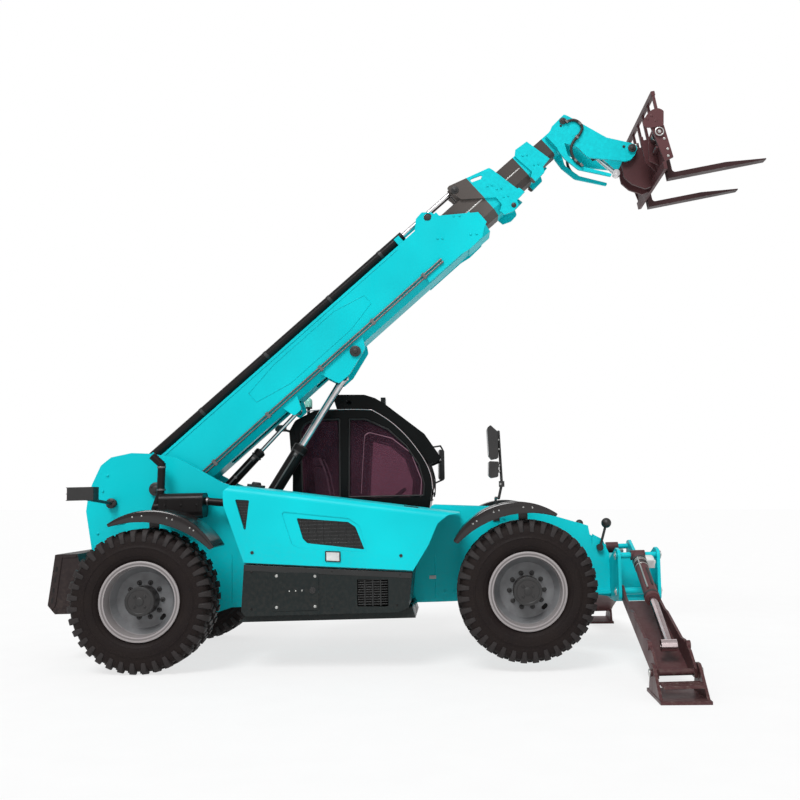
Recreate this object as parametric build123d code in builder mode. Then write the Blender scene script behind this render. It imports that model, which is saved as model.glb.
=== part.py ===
from build123d import *
import math
import os

os.makedirs("parts", exist_ok=True)

# Telescopic handler with a four-piece boom, forks and two front stabilisers.
# X runs forward, Y to the machine's left, Z up. All sizes are millimetres.
# The chassis is described level, with its zero on the ground under the rear axle,
# and stands nose up by the stance angle because the stabilisers lift its front.

# Stance and running gear
stance_angle = 1.3
wheelbase = 3175
track = 1975
tyre_radius = 588
tyre_width = 405
rim_radius = 300
flange_radius = 327.5
rim_wall = 12
disc_depth = 179
disc_thickness = 16
hub_radius = 120
nut_circle = 147
nut_radius = 14
nut_count = 10
kingpin_offset = 840
kingpin_radius = 26
kingpin_barrel = 52
kingpin_height = 80
beam_radius = 88
diff_radius = 185
steer_arm = 30
guard_thickness = 22
guard_lip = (26, 104, 44)
guard_lip_width = 34
dome_radius = 36
guard_ends = ((-262, 632), (115, 740), (610, 427))
lug_count = 18
lug_height = 24
lug_share = 0.62
hand_hole = (205, 62, 36)
seat_gap = 0.3
running_gap = 0.1
move_gap = 6

# Chassis
plate = 28
chassis_half = 300
inner = chassis_half - plate
belly_level = 433
pivot_x = -116
pivot_z = 1508
pivot_radius = 50
tail_x = -964
counterweight_half = 580
mount_x = -600

# Boom: the frame of its own runs along its centre line from the datum point
boom_angle = 41.3
datum_x = -76
datum_z = 1506
base_half = 190
base_top = 259
base_web = -150
base_bottom = -203
base_wall = 12
base_tail = -250
second_half = 162
second_top = 201
second_web = -78
second_bottom = -147
second_wall = 10
second_tail = 160
second_mouth = 4262
third_half = 132
third_top = 175
third_web = -48
third_bottom = -104
third_wall = 10
third_tail = 600
third_mouth = 4676
fourth_half = 105
fourth_top = 130
fourth_bottom = -66
fourth_wall = 10
fourth_tail = 1050
head_plate = 28
head_inner = 132

# Lift, levelling, extension and tilt cylinders
lift_base = (253.7, 450)
lift_eye = (1905, -305)
lift_eye_radius = 38
lift_barrel_radius = 64
lift_barrel_length = 1690
lift_rod_radius = 37
lift_eye_width = 96
lift_base_width = 134
level_base = (120, 1160)
level_eye = (1364, -255)
level_eye_radius = 34
level_barrel_radius = 44
level_barrel_length = 940
level_rod_radius = 19
level_eye_width = 60
extension_height = 340
extension_radius = 49
extension_rod_radius = 28
tilt_base = (5120, 110)
tilt_eye = (5203, -596)
tilt_barrel_radius = 46
tilt_barrel_length = 455
tilt_rod_radius = 24
tilt_eye_radius = 36
tilt_eye_width = 70
bore_end = 12

# Tool carriage and forks, in a frame at the carriage pivot along the blades
carriage_pivot = (5434, -536)
carriage_pin_radius = 32
fork_pitch = 10.55
fork_shaft = (157, -50)
fork_shaft_radius = 28
carriage_half = 660
fork_back = 188
fork_thickness = 48
fork_bottom = -454
fork_length = 940
fork_width = 100
fork_spacing = 940

# Stabilisers
leg_x = 4172
leg_half = 150
leg_pivot = (700, 525)
leg_cylinder_pin = (720, 835)
leg_rod_pin = (1900, 235)
foot_pin = (2120, 75)
leg_plate = 20
leg_pin_radius = 30
foot_half = 183

# Cab
cab_right = 306
cab_left = 1150
cab_wall = 40
glass = 6

# Engine side
hood_outer = -1120
hood_inner = -330
hood_wall = 25
bulkhead_outer = -380

# Frames of reference
tilt_back = math.radians(stance_angle)
fork_pitch_total = math.radians(fork_pitch)
boom_slope = math.radians(boom_angle)


def turned(x, z, angle):
    """A side-view point turned about its zero, nose up."""
    return (
        x * math.cos(angle) - z * math.sin(angle),
        x * math.sin(angle) + z * math.cos(angle),
    )


def boom_to_level(s, n):
    """Side-view point of the boom's frame in the level chassis frame."""
    x, z = turned(s, n, boom_slope)
    return datum_x + x, datum_z + z


carriage_x, carriage_z = boom_to_level(*carriage_pivot)
tip_x, tip_z = turned(fork_back + fork_length, fork_bottom, fork_pitch_total)
front_x, front_z = turned(carriage_x + tip_x, carriage_z + tip_z - tyre_radius, tilt_back)
rear_x, rear_z = turned(tail_x, 519 - tyre_radius, tilt_back)
origin_x = (front_x + rear_x) / 2
ground_x, ground_z = turned(0, -tyre_radius, tilt_back)

CHASSIS = Plane(
    origin=(ground_x - origin_x, 0, ground_z + tyre_radius),
    x_dir=(math.cos(tilt_back), 0, math.sin(tilt_back)),
    z_dir=(-math.sin(tilt_back), 0, math.cos(tilt_back)),
)


def side_frame(parent, x, z, angle):
    """A frame in the side view of its parent, turned nose up by an angle."""
    return Plane(
        origin=parent.from_local_coords(Vector(x, 0, z)),
        x_dir=parent.x_dir * math.cos(angle) + parent.z_dir * math.sin(angle),
        z_dir=parent.z_dir * math.cos(angle) - parent.x_dir * math.sin(angle),
    )


BOOM = side_frame(CHASSIS, datum_x, datum_z, boom_slope)
TOOL = side_frame(CHASSIS, carriage_x, carriage_z, fork_pitch_total)


def face(where, points, holes=(), inset=0):
    """Flat outline on a plane; a point may carry a third value, its corner radius."""
    with BuildSketch(where) as outline:
        with BuildLine():
            Polyline(*[point[:2] for point in points], close=True)
        make_face()
        for point in points:
            if len(point) == 3:
                fillet(outline.vertices().sort_by_distance(point[:2])[0], radius=point[2])
        if inset:
            offset(amount=-inset, kind=Kind.INTERSECTION)
        for x, y, radius in holes:
            with Locations((x, y)):
                Circle(radius, mode=Mode.SUBTRACT)
    return outline.sketch


def slab(frame, points, y0, y1, holes=(), mode=Mode.ADD, inset=0):
    """Plate whose outline lies in the frame's side view, from y0 to y1."""
    where = Plane(frame.from_local_coords(Vector(0, y0, 0)), x_dir=frame.x_dir, z_dir=-frame.y_dir)
    extrude(face(where, points, holes, inset), amount=y0 - y1, mode=mode)


def across(frame, points, x0, x1, holes=(), mode=Mode.ADD):
    """Plate whose outline is (y, z) in the frame, from x0 to x1."""
    where = Plane(frame.from_local_coords(Vector(x0, 0, 0)), x_dir=frame.y_dir, z_dir=frame.x_dir)
    extrude(face(where, points, holes), amount=x1 - x0, mode=mode)


def lying(frame, points, z0, z1, holes=(), mode=Mode.ADD):
    """Plate whose outline is (x, y) in the frame, from z0 to z1."""
    where = Plane(frame.from_local_coords(Vector(0, 0, z0)), x_dir=frame.x_dir, z_dir=frame.z_dir)
    extrude(face(where, points, holes), amount=z1 - z0, mode=mode)


def bar(frame, start, end, radius, mode=Mode.ADD):
    """Round bar between two points of the frame."""
    first = frame.from_local_coords(Vector(*start))
    last = frame.from_local_coords(Vector(*end))
    with BuildSketch(Plane(first, z_dir=last - first)) as ring:
        Circle(radius)
    extrude(ring.sketch, amount=(last - first).length, mode=mode)


def pin(frame, spot, y0, y1, radius, mode=Mode.ADD):
    """Round pin across the frame at a side-view point, from y0 to y1."""
    bar(frame, (spot[0], y0, spot[1]), (spot[0], y1, spot[1]), radius, mode)


def block(frame, x0, x1, y0, y1, z0, z1, mode=Mode.ADD):
    """Square block between the given limits of the frame."""
    lying(frame, [(x0, y0), (x1, y0), (x1, y1), (x0, y1)], z0, z1, mode=mode)


def both_sides(frame, points, y0, y1, holes=(), mode=Mode.ADD):
    """The same plate on the right and on the left."""
    slab(frame, points, y0, y1, holes, mode)
    slab(frame, points, -y1, -y0, holes, mode)


def mirror_points(points):
    """The outline reflected front to back."""
    return [(-point[0], *point[1:]) for point in points]


# Hood hinge line along the inner top edge of the hood
hinge_rear = (760, 1480)
hinge_front = (2300, 1258)
hinge_y = hood_inner + 14
hinge_radius = 7
hinge_lug = 30
hinge_slope = math.atan2(hinge_front[1] - hinge_rear[1], hinge_front[0] - hinge_rear[0])
hinge_span = math.hypot(hinge_front[0] - hinge_rear[0], hinge_front[1] - hinge_rear[1])
HINGE = side_frame(CHASSIS, *hinge_rear, hinge_slope)

# Chassis frame: two side plates, the rear tower, the front carrier and the boom pivot
rear_arch = tyre_radius + 152
side_outline = [
    (-690, 964), (-747, 1320), (-736, 1412), (-698, 1561, 60), (-621, 1732, 60), (-530, 1805, 60),
    (-347, 1841), (-186, 1832), (44, 1793), (159, 1737), (470, 1557), (551, 1526, 30),
    (640, 1180, 80), (760, 960, 80), (2250, 900, 60), (2366, 1308, 30), (2924, 1278), (3394, 1214),
    (3801, 1088), (3851, 809), (3890, 470), (3760, 470), (3640, rear_arch, 60),
    (2890, rear_arch, 80), (2760, 438), (2421, belly_level), (651, belly_level), (481, belly_level),
    (330, rear_arch, 80), (-330, rear_arch, 80), (-600, 760),
]
with BuildPart() as chassis_frame:
    both_sides(CHASSIS, side_outline, chassis_half - plate, chassis_half)
    block(CHASSIS, 560, 600, -inner, inner, belly_level, 510)
    block(CHASSIS, 2380, 2408, -inner, inner, belly_level, 900)
    block(CHASSIS, 520, 2740, -inner, inner, belly_level, belly_level + 16)
    slab(CHASSIS, [(-690, 900), (-714, 1080), (-690, 1080), (-660, 900)], -inner, inner)
    block(CHASSIS, -640, -330, -inner, inner, rear_arch + 12, rear_arch + 40)
    block(CHASSIS, mount_x, mount_x + plate, -inner, inner, 560, rear_arch + 20)
    block(CHASSIS, -330, 225, -inner, inner, rear_arch, rear_arch + 28)
    block(CHASSIS, 2890, 3640, -inner, inner, rear_arch, rear_arch + 28)
    block(CHASSIS, -300, -272, -inner, inner, rear_arch, 1000)
    bar(CHASSIS, (-560, -inner, 1640), (-560, inner, 1640), 45)
    pin(CHASSIS, (pivot_x, pivot_z), -chassis_half - 26, chassis_half + 26, pivot_radius)
    for side in (-1, 1):
        pin(CHASSIS, (pivot_x, pivot_z), side * (base_half + move_gap), side * inner, 92)
    # Lift cylinder's base lugs stand on the belly plate
    for side in (-1, 1):
        near = side * (lift_base_width / 2 + 3)
        far = side * (lift_base_width / 2 + 33)
        slab(
            CHASSIS,
            [(150, 395, 30), (360, 395, 30), (590, belly_level), (590, 520), (330, 560, 40),
             (180, 560, 40)],
            near,
            far,
        )
    pin(CHASSIS, lift_base, -inner, inner, 30)
    slab(CHASSIS, [(120, rear_arch), (330, rear_arch), (560, belly_level), (440, belly_level - 38),
                   (120, belly_level - 38)], inner - 1, chassis_half)
    slab(CHASSIS, [(120, rear_arch), (330, rear_arch), (560, belly_level), (440, belly_level - 38),
                   (120, belly_level - 38)], -chassis_half, 1 - inner)
    # Posts and pins of the hood hinge
    for along in (0, hinge_span):
        post_x = along + hinge_lug + 1
        block(HINGE, post_x, post_x + 34, -chassis_half, -inner, -520, 16)
        block(HINGE, post_x, post_x + 24, hinge_y - 8, 1 - chassis_half, -9, 9)
        bar(HINGE, (along - hinge_lug - 8, hinge_y, 0), (post_x + 1, hinge_y, 0), hinge_radius)
    # Levelling cylinder's base lugs hang between the tower plates
    for side in (-1, 1):
        pin(CHASSIS, level_base, side * (level_eye_width / 2 + 3), side * inner, 55)
    pin(CHASSIS, level_base, -inner, inner, 22)
    # Front carrier for the stabilisers
    carrier_back = leg_x - leg_half - 34
    carrier_front = leg_x + leg_half + 8
    carrier_half = leg_pivot[0] + 90
    block(CHASSIS, 3780, 3808, -inner, inner, 500, 1060)
    block(CHASSIS, 3800, carrier_back, -340, 340, 470, 500)
    both_sides(
        CHASSIS,
        [(3800, 470), (carrier_back, 440), (carrier_back, 830), (3930, 960), (3840, 1010)],
        inner,
        chassis_half,
    )
    lug = [
        (-carrier_half, 455, 50), (-450, 420), (450, 420), (carrier_half, 455, 50),
        (carrier_half, 880, 60), (carrier_half - 130, 900, 30), (330, 790), (-330, 790),
        (130 - carrier_half, 900, 30), (-carrier_half, 880, 60),
    ]
    across(CHASSIS, lug, carrier_back, carrier_back + 28)
    across(CHASSIS, lug, carrier_front, carrier_front + 28)
    block(CHASSIS, carrier_back, carrier_front + 28, -520, 520, 420, 448)
    block(CHASSIS, carrier_back, carrier_front + 28, -430, 430, 765, 790)
    for side in (-1, 1):
        block(CHASSIS, carrier_back, carrier_front + 28, side * 430, side * 402, 420, 790)
        bar(
            CHASSIS,
            (carrier_back - 12, side * leg_pivot[0], leg_pivot[1]),
            (carrier_front + 40, side * leg_pivot[0], leg_pivot[1]),
            leg_pin_radius,
        )
        bar(
            CHASSIS,
            (carrier_back - 12, side * leg_cylinder_pin[0], leg_cylinder_pin[1]),
            (carrier_front + 40, side * leg_cylinder_pin[0], leg_cylinder_pin[1]),
            leg_pin_radius - 6,
        )
        for x0, x1 in ((carrier_back, leg_x - 68), (leg_x + 68, carrier_front)):
            bar(
                CHASSIS,
                (x0, side * leg_cylinder_pin[0], leg_cylinder_pin[1]),
                (x1, side * leg_cylinder_pin[0], leg_cylinder_pin[1]),
                leg_pin_radius - 4,
            )
chassis_frame.part.label = "chassis_frame"
export_step(chassis_frame.part, "parts/chassis_frame.step")

# Counterweight behind the rear axle
with BuildPart() as counterweight:
    slab(
        CHASSIS,
        [(-905, 957, 20), (tail_x, 519, 30), (-900, 443), (-640, 443, 40),
         (mount_x - seat_gap, 480), (mount_x - seat_gap, 700), (-700, 900), (-716, 957)],
        -counterweight_half,
        counterweight_half,
    )
    block(CHASSIS, -760, mount_x + 1, -chassis_half - seat_gap, chassis_half + seat_gap, 740, 1000,
          Mode.SUBTRACT)
    for row in range(3):
        for side in (-1, 1):
            slot_y = side * (counterweight_half - 60 - 55 * row)
            block(CHASSIS, tail_x - 5, tail_x + 75, slot_y - 10, slot_y + 10, 600, 860,
                  Mode.SUBTRACT)
counterweight.part.label = "counterweight"
export_step(counterweight.part, "parts/counterweight.step")

# Axles: beam, differential and the upright barrels of the kingpins
for name, axle_x in (("rear", 0), ("front", wheelbase)):
    with BuildPart() as axle:
        bar(CHASSIS, (axle_x, -kingpin_offset, tyre_radius), (axle_x, kingpin_offset, tyre_radius),
            beam_radius - 20)
        bar(CHASSIS, (axle_x, -700, tyre_radius), (axle_x, 700, tyre_radius), beam_radius)
        bar(CHASSIS, (axle_x - 130, 0, tyre_radius), (axle_x + 130, 0, tyre_radius),
            diff_radius - 40)
        block(CHASSIS, axle_x - 110, axle_x + 110, -inner, inner, tyre_radius - 60,
              rear_arch - seat_gap)
        for side in (-1, 1):
            foot = (axle_x, side * kingpin_offset, tyre_radius - kingpin_height)
            top = (axle_x, side * kingpin_offset, tyre_radius + kingpin_height)
            bar(CHASSIS, foot, top, kingpin_barrel)
            bar(CHASSIS, foot, top, kingpin_radius + running_gap, Mode.SUBTRACT)
    axle.part.label = f"{name}_axle"
    export_step(axle.part, f"parts/{name}_axle.step")

# Steering knuckles with their mudguards, wheels and tyres


def arc_centre(first, middle, last):
    """Centre and radius of the circle through three points of a plane."""
    ax, az = middle[0] - first[0], middle[1] - first[1]
    bx, bz = last[0] - first[0], last[1] - first[1]
    cross = 2 * (ax * bz - az * bx)
    a2, b2 = ax * ax + az * az, bx * bx + bz * bz
    x = first[0] + (bz * a2 - az * b2) / cross
    z = first[1] + (ax * b2 - bx * a2) / cross
    return x, z, math.hypot(first[0] - x, first[1] - z)


def crescent(frame, ends, move_x, move_z, depths, y0, y1, end_radius):
    """Curved band under the arc through three points, with a depth at each point."""
    x, z, radius = arc_centre(*ends)
    inner_ends = []
    for (px, pz), depth in zip(ends, depths):
        share = (radius - depth) / radius
        inner_ends.append((x + (px - x) * share, z + (pz - z) * share))
    moved = [(px + move_x, pz + move_z) for px, pz in (*ends, *inner_ends)]
    where = Plane(frame.from_local_coords(Vector(0, y0, 0)), x_dir=frame.x_dir, z_dir=-frame.y_dir)
    with BuildSketch(where) as band:
        with BuildLine():
            ThreePointArc(*moved[:3])
            Line(moved[2], moved[5])
            ThreePointArc(*reversed(moved[3:]))
            Line(moved[3], moved[0])
        make_face()
        fillet(band.vertices(), radius=end_radius)
    extrude(band.sketch, amount=y0 - y1)


outer_face = (track + tyre_width) / 2
inner_face = outer_face - tyre_width
for name, axle_x, side in (
    ("rear_right", 0, -1),
    ("rear_left", 0, 1),
    ("front_right", wheelbase, -1),
    ("front_left", wheelbase, 1),
):
    cap = tyre_radius + kingpin_height + move_gap
    floor_level = tyre_radius - kingpin_height - move_gap
    kingpin_y = side * kingpin_offset
    flange_y = side * (outer_face - 25)
    disc_y = side * (outer_face - 25 - disc_depth)
    with BuildPart() as knuckle:
        bar(CHASSIS, (axle_x, kingpin_y, floor_level - steer_arm),
            (axle_x, kingpin_y, cap + steer_arm), kingpin_radius)
        for low, high in ((cap, cap + steer_arm), (floor_level - steer_arm, floor_level)):
            bar(CHASSIS, (axle_x, kingpin_y, low), (axle_x, kingpin_y, high), kingpin_barrel)
            block(CHASSIS, axle_x - 46, axle_x + 46, kingpin_y, side * 930, low, high)
        block(CHASSIS, axle_x - 46, axle_x + 46, side * 900, side * 930, floor_level, cap)
        bar(CHASSIS, (axle_x, side * 900, tyre_radius),
            (axle_x, disc_y - side * (14 + seat_gap), tyre_radius), hub_radius - 20)
        # Arm up the inner side of the tyre to the mudguard
        block(CHASSIS, axle_x - 40, axle_x + 40, side * 745, kingpin_y, cap, cap + steer_arm)
        block(CHASSIS, axle_x - 40, axle_x + 40, side * 745, side * 770, cap,
              tyre_radius + 718)
        block(CHASSIS, axle_x - 40, axle_x + 40, side * 745, side * 840, tyre_radius + 690,
              tyre_radius + 718)
        guard = guard_ends
        if axle_x > 0:
            guard = mirror_points(guard)
        lip_y = outer_face - 5
        end_radius = guard_thickness * 0.4
        crescent(CHASSIS, guard, axle_x, tyre_radius, (guard_thickness,) * 3,
                 *sorted((side * 800, side * lip_y)), end_radius)
        crescent(CHASSIS, guard, axle_x, tyre_radius, guard_lip,
                 *sorted((side * (lip_y - guard_lip_width), side * lip_y)), end_radius)
    knuckle.part.label = f"knuckle_{name}"
    export_step(knuckle.part, f"parts/knuckle_{name}.step")

    where = Plane(
        CHASSIS.from_local_coords(Vector(axle_x, 0, tyre_radius)),
        x_dir=CHASSIS.y_dir,
        z_dir=-CHASSIS.x_dir,
    )
    with BuildPart() as rim:
        with BuildSketch(where) as section:
            with BuildLine():
                Polyline(
                    (side * (inner_face + 25), rim_radius - rim_wall),
                    (side * (inner_face + 25), flange_radius),
                    (side * (inner_face + 38), flange_radius),
                    (side * (inner_face + 38), rim_radius),
                    (side * (outer_face - 38), rim_radius),
                    (side * (outer_face - 38), flange_radius),
                    (flange_y, flange_radius),
                    (flange_y, rim_radius - rim_wall),
                    (disc_y + side * 60, rim_radius - rim_wall - 8),
                    (disc_y + side * disc_thickness, rim_radius - 70),
                    (disc_y + side * disc_thickness, hub_radius),
                    (flange_y - side * 30, hub_radius),
                    (flange_y - side * 10, hub_radius - 20),
                    (flange_y - side * 10, 0),
                    (disc_y - side * 14, 0),
                    (disc_y - side * 14, hub_radius + 40),
                    (disc_y, hub_radius + 44),
                    (disc_y, rim_radius - 70),
                    (disc_y + side * 20, rim_radius - rim_wall - 8),
                    (disc_y + side * 20, rim_radius - rim_wall),
                    close=True,
                )
            make_face()
        revolve(section.sketch, axis=Axis(where.origin, CHASSIS.y_dir))
        nut_plane = Plane(
            CHASSIS.from_local_coords(
                Vector(axle_x, disc_y + side * disc_thickness, tyre_radius)
            ),
            x_dir=CHASSIS.x_dir,
            z_dir=CHASSIS.y_dir * side,
        )
        with BuildSketch(nut_plane) as nuts:
            with PolarLocations(nut_circle, nut_count):
                RegularPolygon(nut_radius, 6)
        extrude(nuts.sketch, amount=18)
        with BuildSketch(nut_plane) as opening:
            with PolarLocations(hand_hole[0], 1, start_angle=side * 44):
                SlotOverall(hand_hole[1], hand_hole[2], rotation=90)
        extrude(opening.sketch, amount=disc_thickness * 2, both=True, mode=Mode.SUBTRACT)
    rim.part.label = f"wheel_{name}"
    export_step(rim.part, f"parts/wheel_{name}.step")

    with BuildPart() as tyre:
        with BuildSketch(where) as section:
            with BuildLine():
                Polyline(
                    (side * (inner_face + 40), rim_radius + running_gap),
                    (side * (inner_face + 40), flange_radius + 8),
                    (side * (inner_face + 4), flange_radius + 60),
                    (side * inner_face, 460),
                    (side * (inner_face + 14), tyre_radius - 62),
                    (side * (inner_face + 44), tyre_radius - lug_height),
                    (side * (outer_face - 44), tyre_radius - lug_height),
                    (side * (outer_face - 14), tyre_radius - 62),
                    (side * outer_face, 460),
                    (side * (outer_face - 4), flange_radius + 60),
                    (side * (outer_face - 40), flange_radius + 8),
                    (side * (outer_face - 40), rim_radius + running_gap),
                    close=True,
                )
            make_face()
        revolve(section.sketch, axis=Axis(where.origin, CHASSIS.y_dir))
        # Shoulder lugs, staggered from side to side
        for half in (0, 1):
            lug_start = side * track / 2 + (16 if half else -16)
            lug_end = side * track / 2 + (1 if half else -1) * (tyre_width / 2 - 16)
            pitch = 2 * math.pi / lug_count
            lugs = []
            for index in range(lug_count):
                for share, radius in ((0, 0), (0.04, 1), (lug_share, 1), (lug_share + 0.04, 0)):
                    turn = (index + share + half / 2) * pitch
                    reach = tyre_radius - (1 - radius) * (lug_height + 22)
                    lugs.append((axle_x + reach * math.cos(turn),
                                 tyre_radius + reach * math.sin(turn)))
            slab(CHASSIS, lugs, *sorted((lug_start, lug_end)),
                 holes=[(axle_x, tyre_radius, tyre_radius - 66)])
    tyre.part.label = f"tyre_{name}"
    export_step(tyre.part, f"parts/tyre_{name}.step")

# Engine side: fixed tray with the engine, and the hood hinged along its inner top edge
tray_outline = [
    (838, 864), (815, 480), (850, 443), (2100, 443), (2190, 480), (2223, 763),
]
hood_roof = ((721, 1517), (2624, 1243))
hood_round = 60
ROOF = side_frame(
    CHASSIS,
    *hood_roof[0],
    math.atan2(hood_roof[1][1] - hood_roof[0][1], hood_roof[1][0] - hood_roof[0][0]),
)
hood_outline = [
    (838, 872), (669, 1351), (661, 1469, 30), hood_roof[0], hood_roof[1],
    (2525, 1230, 60), (2437, 1162, 90), (2360, 987, 90), (2223, 772),
]
hood_vent = [(764, 1400, 8), (881, 1390, 8), (848, 1119, 8)]
hood_window = [
    (1270, 1234, 8), (1697, 1192, 30), (1756, 1149, 20), (1828, 963, 6), (1357, 1026, 12),
    (1321, 1063, 12),
]
hood_recess = [
    (1143, 1292, 20), (1232, 1015, 40), (1300, 985, 30), (1850, 938, 10), (1790, 1160, 60),
    (1700, 1222, 50),
]
hood_recess_depth = 7
hood_mouth = [(2150, 760), (2310, 1262), (2700, 1205), (2700, 700), (2240, 700)]
hatch = [(1078, 798, 14), (1450, 782, 14), (1450, 480, 14), (1070, 478, 14)]
hatch_rise = 5
tray_opening = [(1765, 723, 12), (2021, 716, 12), (2021, 492, 12), (1765, 499, 12)]
tray_skirt = [(850, 450), (2105, 450), (2215, 480), (2240, 388), (788, 390)]
bulkhead = [
    (870, 460), (890, 860), (748, 1330), (744, 1420), (2290, 1198), (2180, 760), (2150, 460),
]
tray_cavity = [(865, 900), (842, 480), (860, 468), (2090, 468), (2162, 490), (2192, 900)]
with BuildPart() as side_tray:
    slab(CHASSIS, tray_outline, hood_outer, hood_inner)
    slab(CHASSIS, tray_cavity, hood_outer + hood_wall, hood_inner - hood_wall,
         mode=Mode.SUBTRACT)
    for x in (980, 1500, 2050):
        block(CHASSIS, x - 40, x + 40, hood_inner - 1, -chassis_half, 560, 640)
    slab(CHASSIS, hatch, hood_outer - hatch_rise, hood_outer + 1)
    slab(CHASSIS, tray_opening, hood_outer - 1, hood_outer + hood_wall + 1, mode=Mode.SUBTRACT)
    slab(CHASSIS, tray_skirt, hood_outer + 60, hood_inner + 10)
    slab(CHASSIS, bulkhead, bulkhead_outer, bulkhead_outer + 14)
side_tray.part.label = "side_tray"
export_step(side_tray.part, "parts/side_tray.step")

with BuildPart() as engine_block:
    block(CHASSIS, 1050, 1950, -960, -440, 468 + seat_gap, 1090)
engine_block.part.label = "engine_block"
export_step(engine_block.part, "parts/engine_block.step")

hood_cavity = [
    (880, 860), (705, 1355), (692, 1450), (733, 1489), (2500, 1235), (2415, 1180), (2330, 990),
    (2195, 760),
]
inner_side = [
    (600, 700), (600, 1350), (668, 1440), (2700, 1160), (2700, 700),
]
with BuildPart() as hood:
    slab(CHASSIS, hood_outline, hood_outer, hood_inner)
    roof_middle = CHASSIS.from_local_coords(
        Vector((hood_roof[0][0] + hood_roof[1][0]) / 2, hood_outer,
               (hood_roof[0][1] + hood_roof[1][1]) / 2)
    )
    fillet(hood.edges().sort_by_distance(roof_middle)[0], radius=hood_round)
    slab(CHASSIS, hood_cavity, hood_outer + hood_wall, hood_inner - hood_wall,
         mode=Mode.SUBTRACT)
    slab(CHASSIS, hood_mouth, hood_outer + hood_wall, hood_inner - hood_wall,
         mode=Mode.SUBTRACT)
    slab(CHASSIS, hood_recess, hood_outer - 1, hood_outer + hood_recess_depth,
         mode=Mode.SUBTRACT)
    for hole in (hood_vent, hood_window):
        slab(CHASSIS, hole, hood_outer - 1, hood_outer + hood_wall + 1, mode=Mode.SUBTRACT)
    # The inner side stays open below a strip along the hinge
    slab(CHASSIS, inner_side, hood_inner - hood_wall - 1, hood_inner + 1, mode=Mode.SUBTRACT)
    block(ROOF, -100, 2100, hood_inner - hood_wall - 1, hood_inner - 14, -200, 1 - hood_wall,
          Mode.SUBTRACT)
    for along in (0, hinge_span):
        block(HINGE, along - hinge_lug, along + hinge_lug, hood_inner - 1, hinge_y, -12, 12)
        bar(HINGE, (along - hinge_lug, hinge_y, 0), (along + hinge_lug, hinge_y, 0), 12)
        bar(HINGE, (along - 60, hinge_y, 0), (along + 60, hinge_y, 0),
            hinge_radius + running_gap, Mode.SUBTRACT)
hood.part.label = "hood"
export_step(hood.part, "parts/hood.step")

# Grilles behind the hood's openings, its latch, its filler cap and the plate on its front edge
grille_y0 = hood_outer + hood_wall + seat_gap
grille_frame = 30
with BuildPart() as hood_trim:
    for hole in (hood_vent, hood_window):
        slab(CHASSIS, [point[:2] for point in hole], grille_y0, grille_y0 + 8,
             inset=-grille_frame)
    slab(CHASSIS, [(2178, 800), (2330, 1235), (2354, 1231), (2202, 793)], grille_y0,
         bulkhead_outer - move_gap)
    slab(CHASSIS, [(1505, 960, 8), (1632, 952, 8), (1632, 865, 8), (1505, 873, 8)],
         hood_outer - 9, hood_outer - seat_gap)
    block(ROOF, 20, 160, -520, -410, seat_gap, 22)
    block(ROOF, 1450, 1570, -1030, -950, seat_gap, 8)
hood_trim.part.label = "hood_trim"
export_step(hood_trim.part, "parts/hood_trim.step")

# Exhaust silencer and tail pipe beside the tower
with BuildPart() as exhaust:
    across(
        CHASSIS,
        [(-565, 1250, 60), (-565, 1465, 60), (-345, 1465, 60), (-345, 1250, 60)],
        -26,
        358,
    )
    bar(CHASSIS, (-92, -455, 1353), (-20, -455, 1353), 34)
    bar(CHASSIS, (-92, -455, 1320), (-37, -455, 1480), 30)
    bar(CHASSIS, (-37, -455, 1470), (-28, -455, 1739), 34)
    bar(CHASSIS, (-28, -455, 1725), (-113, -455, 1803), 34)
    bar(CHASSIS, (356, -455, 1390), (640, -455, 1360), 34)
    block(CHASSIS, 60, 110, -400, -chassis_half - seat_gap, 1238, 1262)
    block(CHASSIS, 250, 300, -400, -chassis_half - seat_gap, 1238, 1262)
exhaust.part.label = "exhaust"
export_step(exhaust.part, "parts/exhaust.step")

# Cab shell
cab_outline = [
    (1000, 560, 60), (1013, 1603), (980, 2049), (1039, 2154, 80), (1250, 2257, 120), (1744, 2248),
    (1815, 2210, 80), (1979, 2124, 120), (2153, 1978, 150), (2292, 1786, 150), (2359, 1573, 100),
    (2369, 1479, 60), (2342, 1298), (2270, 900), (2200, 560, 60),
]
cab_inside = [
    (1042, 600), (1055, 1603), (1022, 2045), (1070, 2122), (1255, 2215), (1738, 2206),
    (1795, 2174), (1958, 2088), (2122, 1952), (2255, 1768), (2318, 1560),
    (2326, 1479), (2300, 1298), (2230, 900), (2165, 600),
]
door_outline = [
    (1560, 640, 40), (1600, 1500), (1640, 2090, 60), (1930, 2010, 60), (2130, 1850, 80),
    (2240, 1560, 80), (2220, 1300), (2130, 660, 60),
]
right_windows = (
    [(1100, 1400, 30), (1080, 2050, 80), (1210, 2165, 60), (1480, 2165, 20), (1480, 1390, 20)],
    [(1545, 1385, 20), (1555, 2165, 20), (1730, 2160, 50), (1950, 2055, 60), (2130, 1890, 80),
     (2250, 1700, 80), (2300, 1500, 60), (2290, 1385, 30)],
)
front_zone = [
    (1900, 2020), (1990, 2200), (2500, 2200), (2500, 1340), (2200, 1340), (2150, 1600),
]
roof_zone = [(1300, 2100), (1300, 2400), (1700, 2400), (1700, 2100)]
rear_zone = [(900, 1400), (900, 1980), (1180, 1980), (1180, 1400)]
frame_y0 = cab_right + 75
frame_y1 = cab_left - 75
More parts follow.
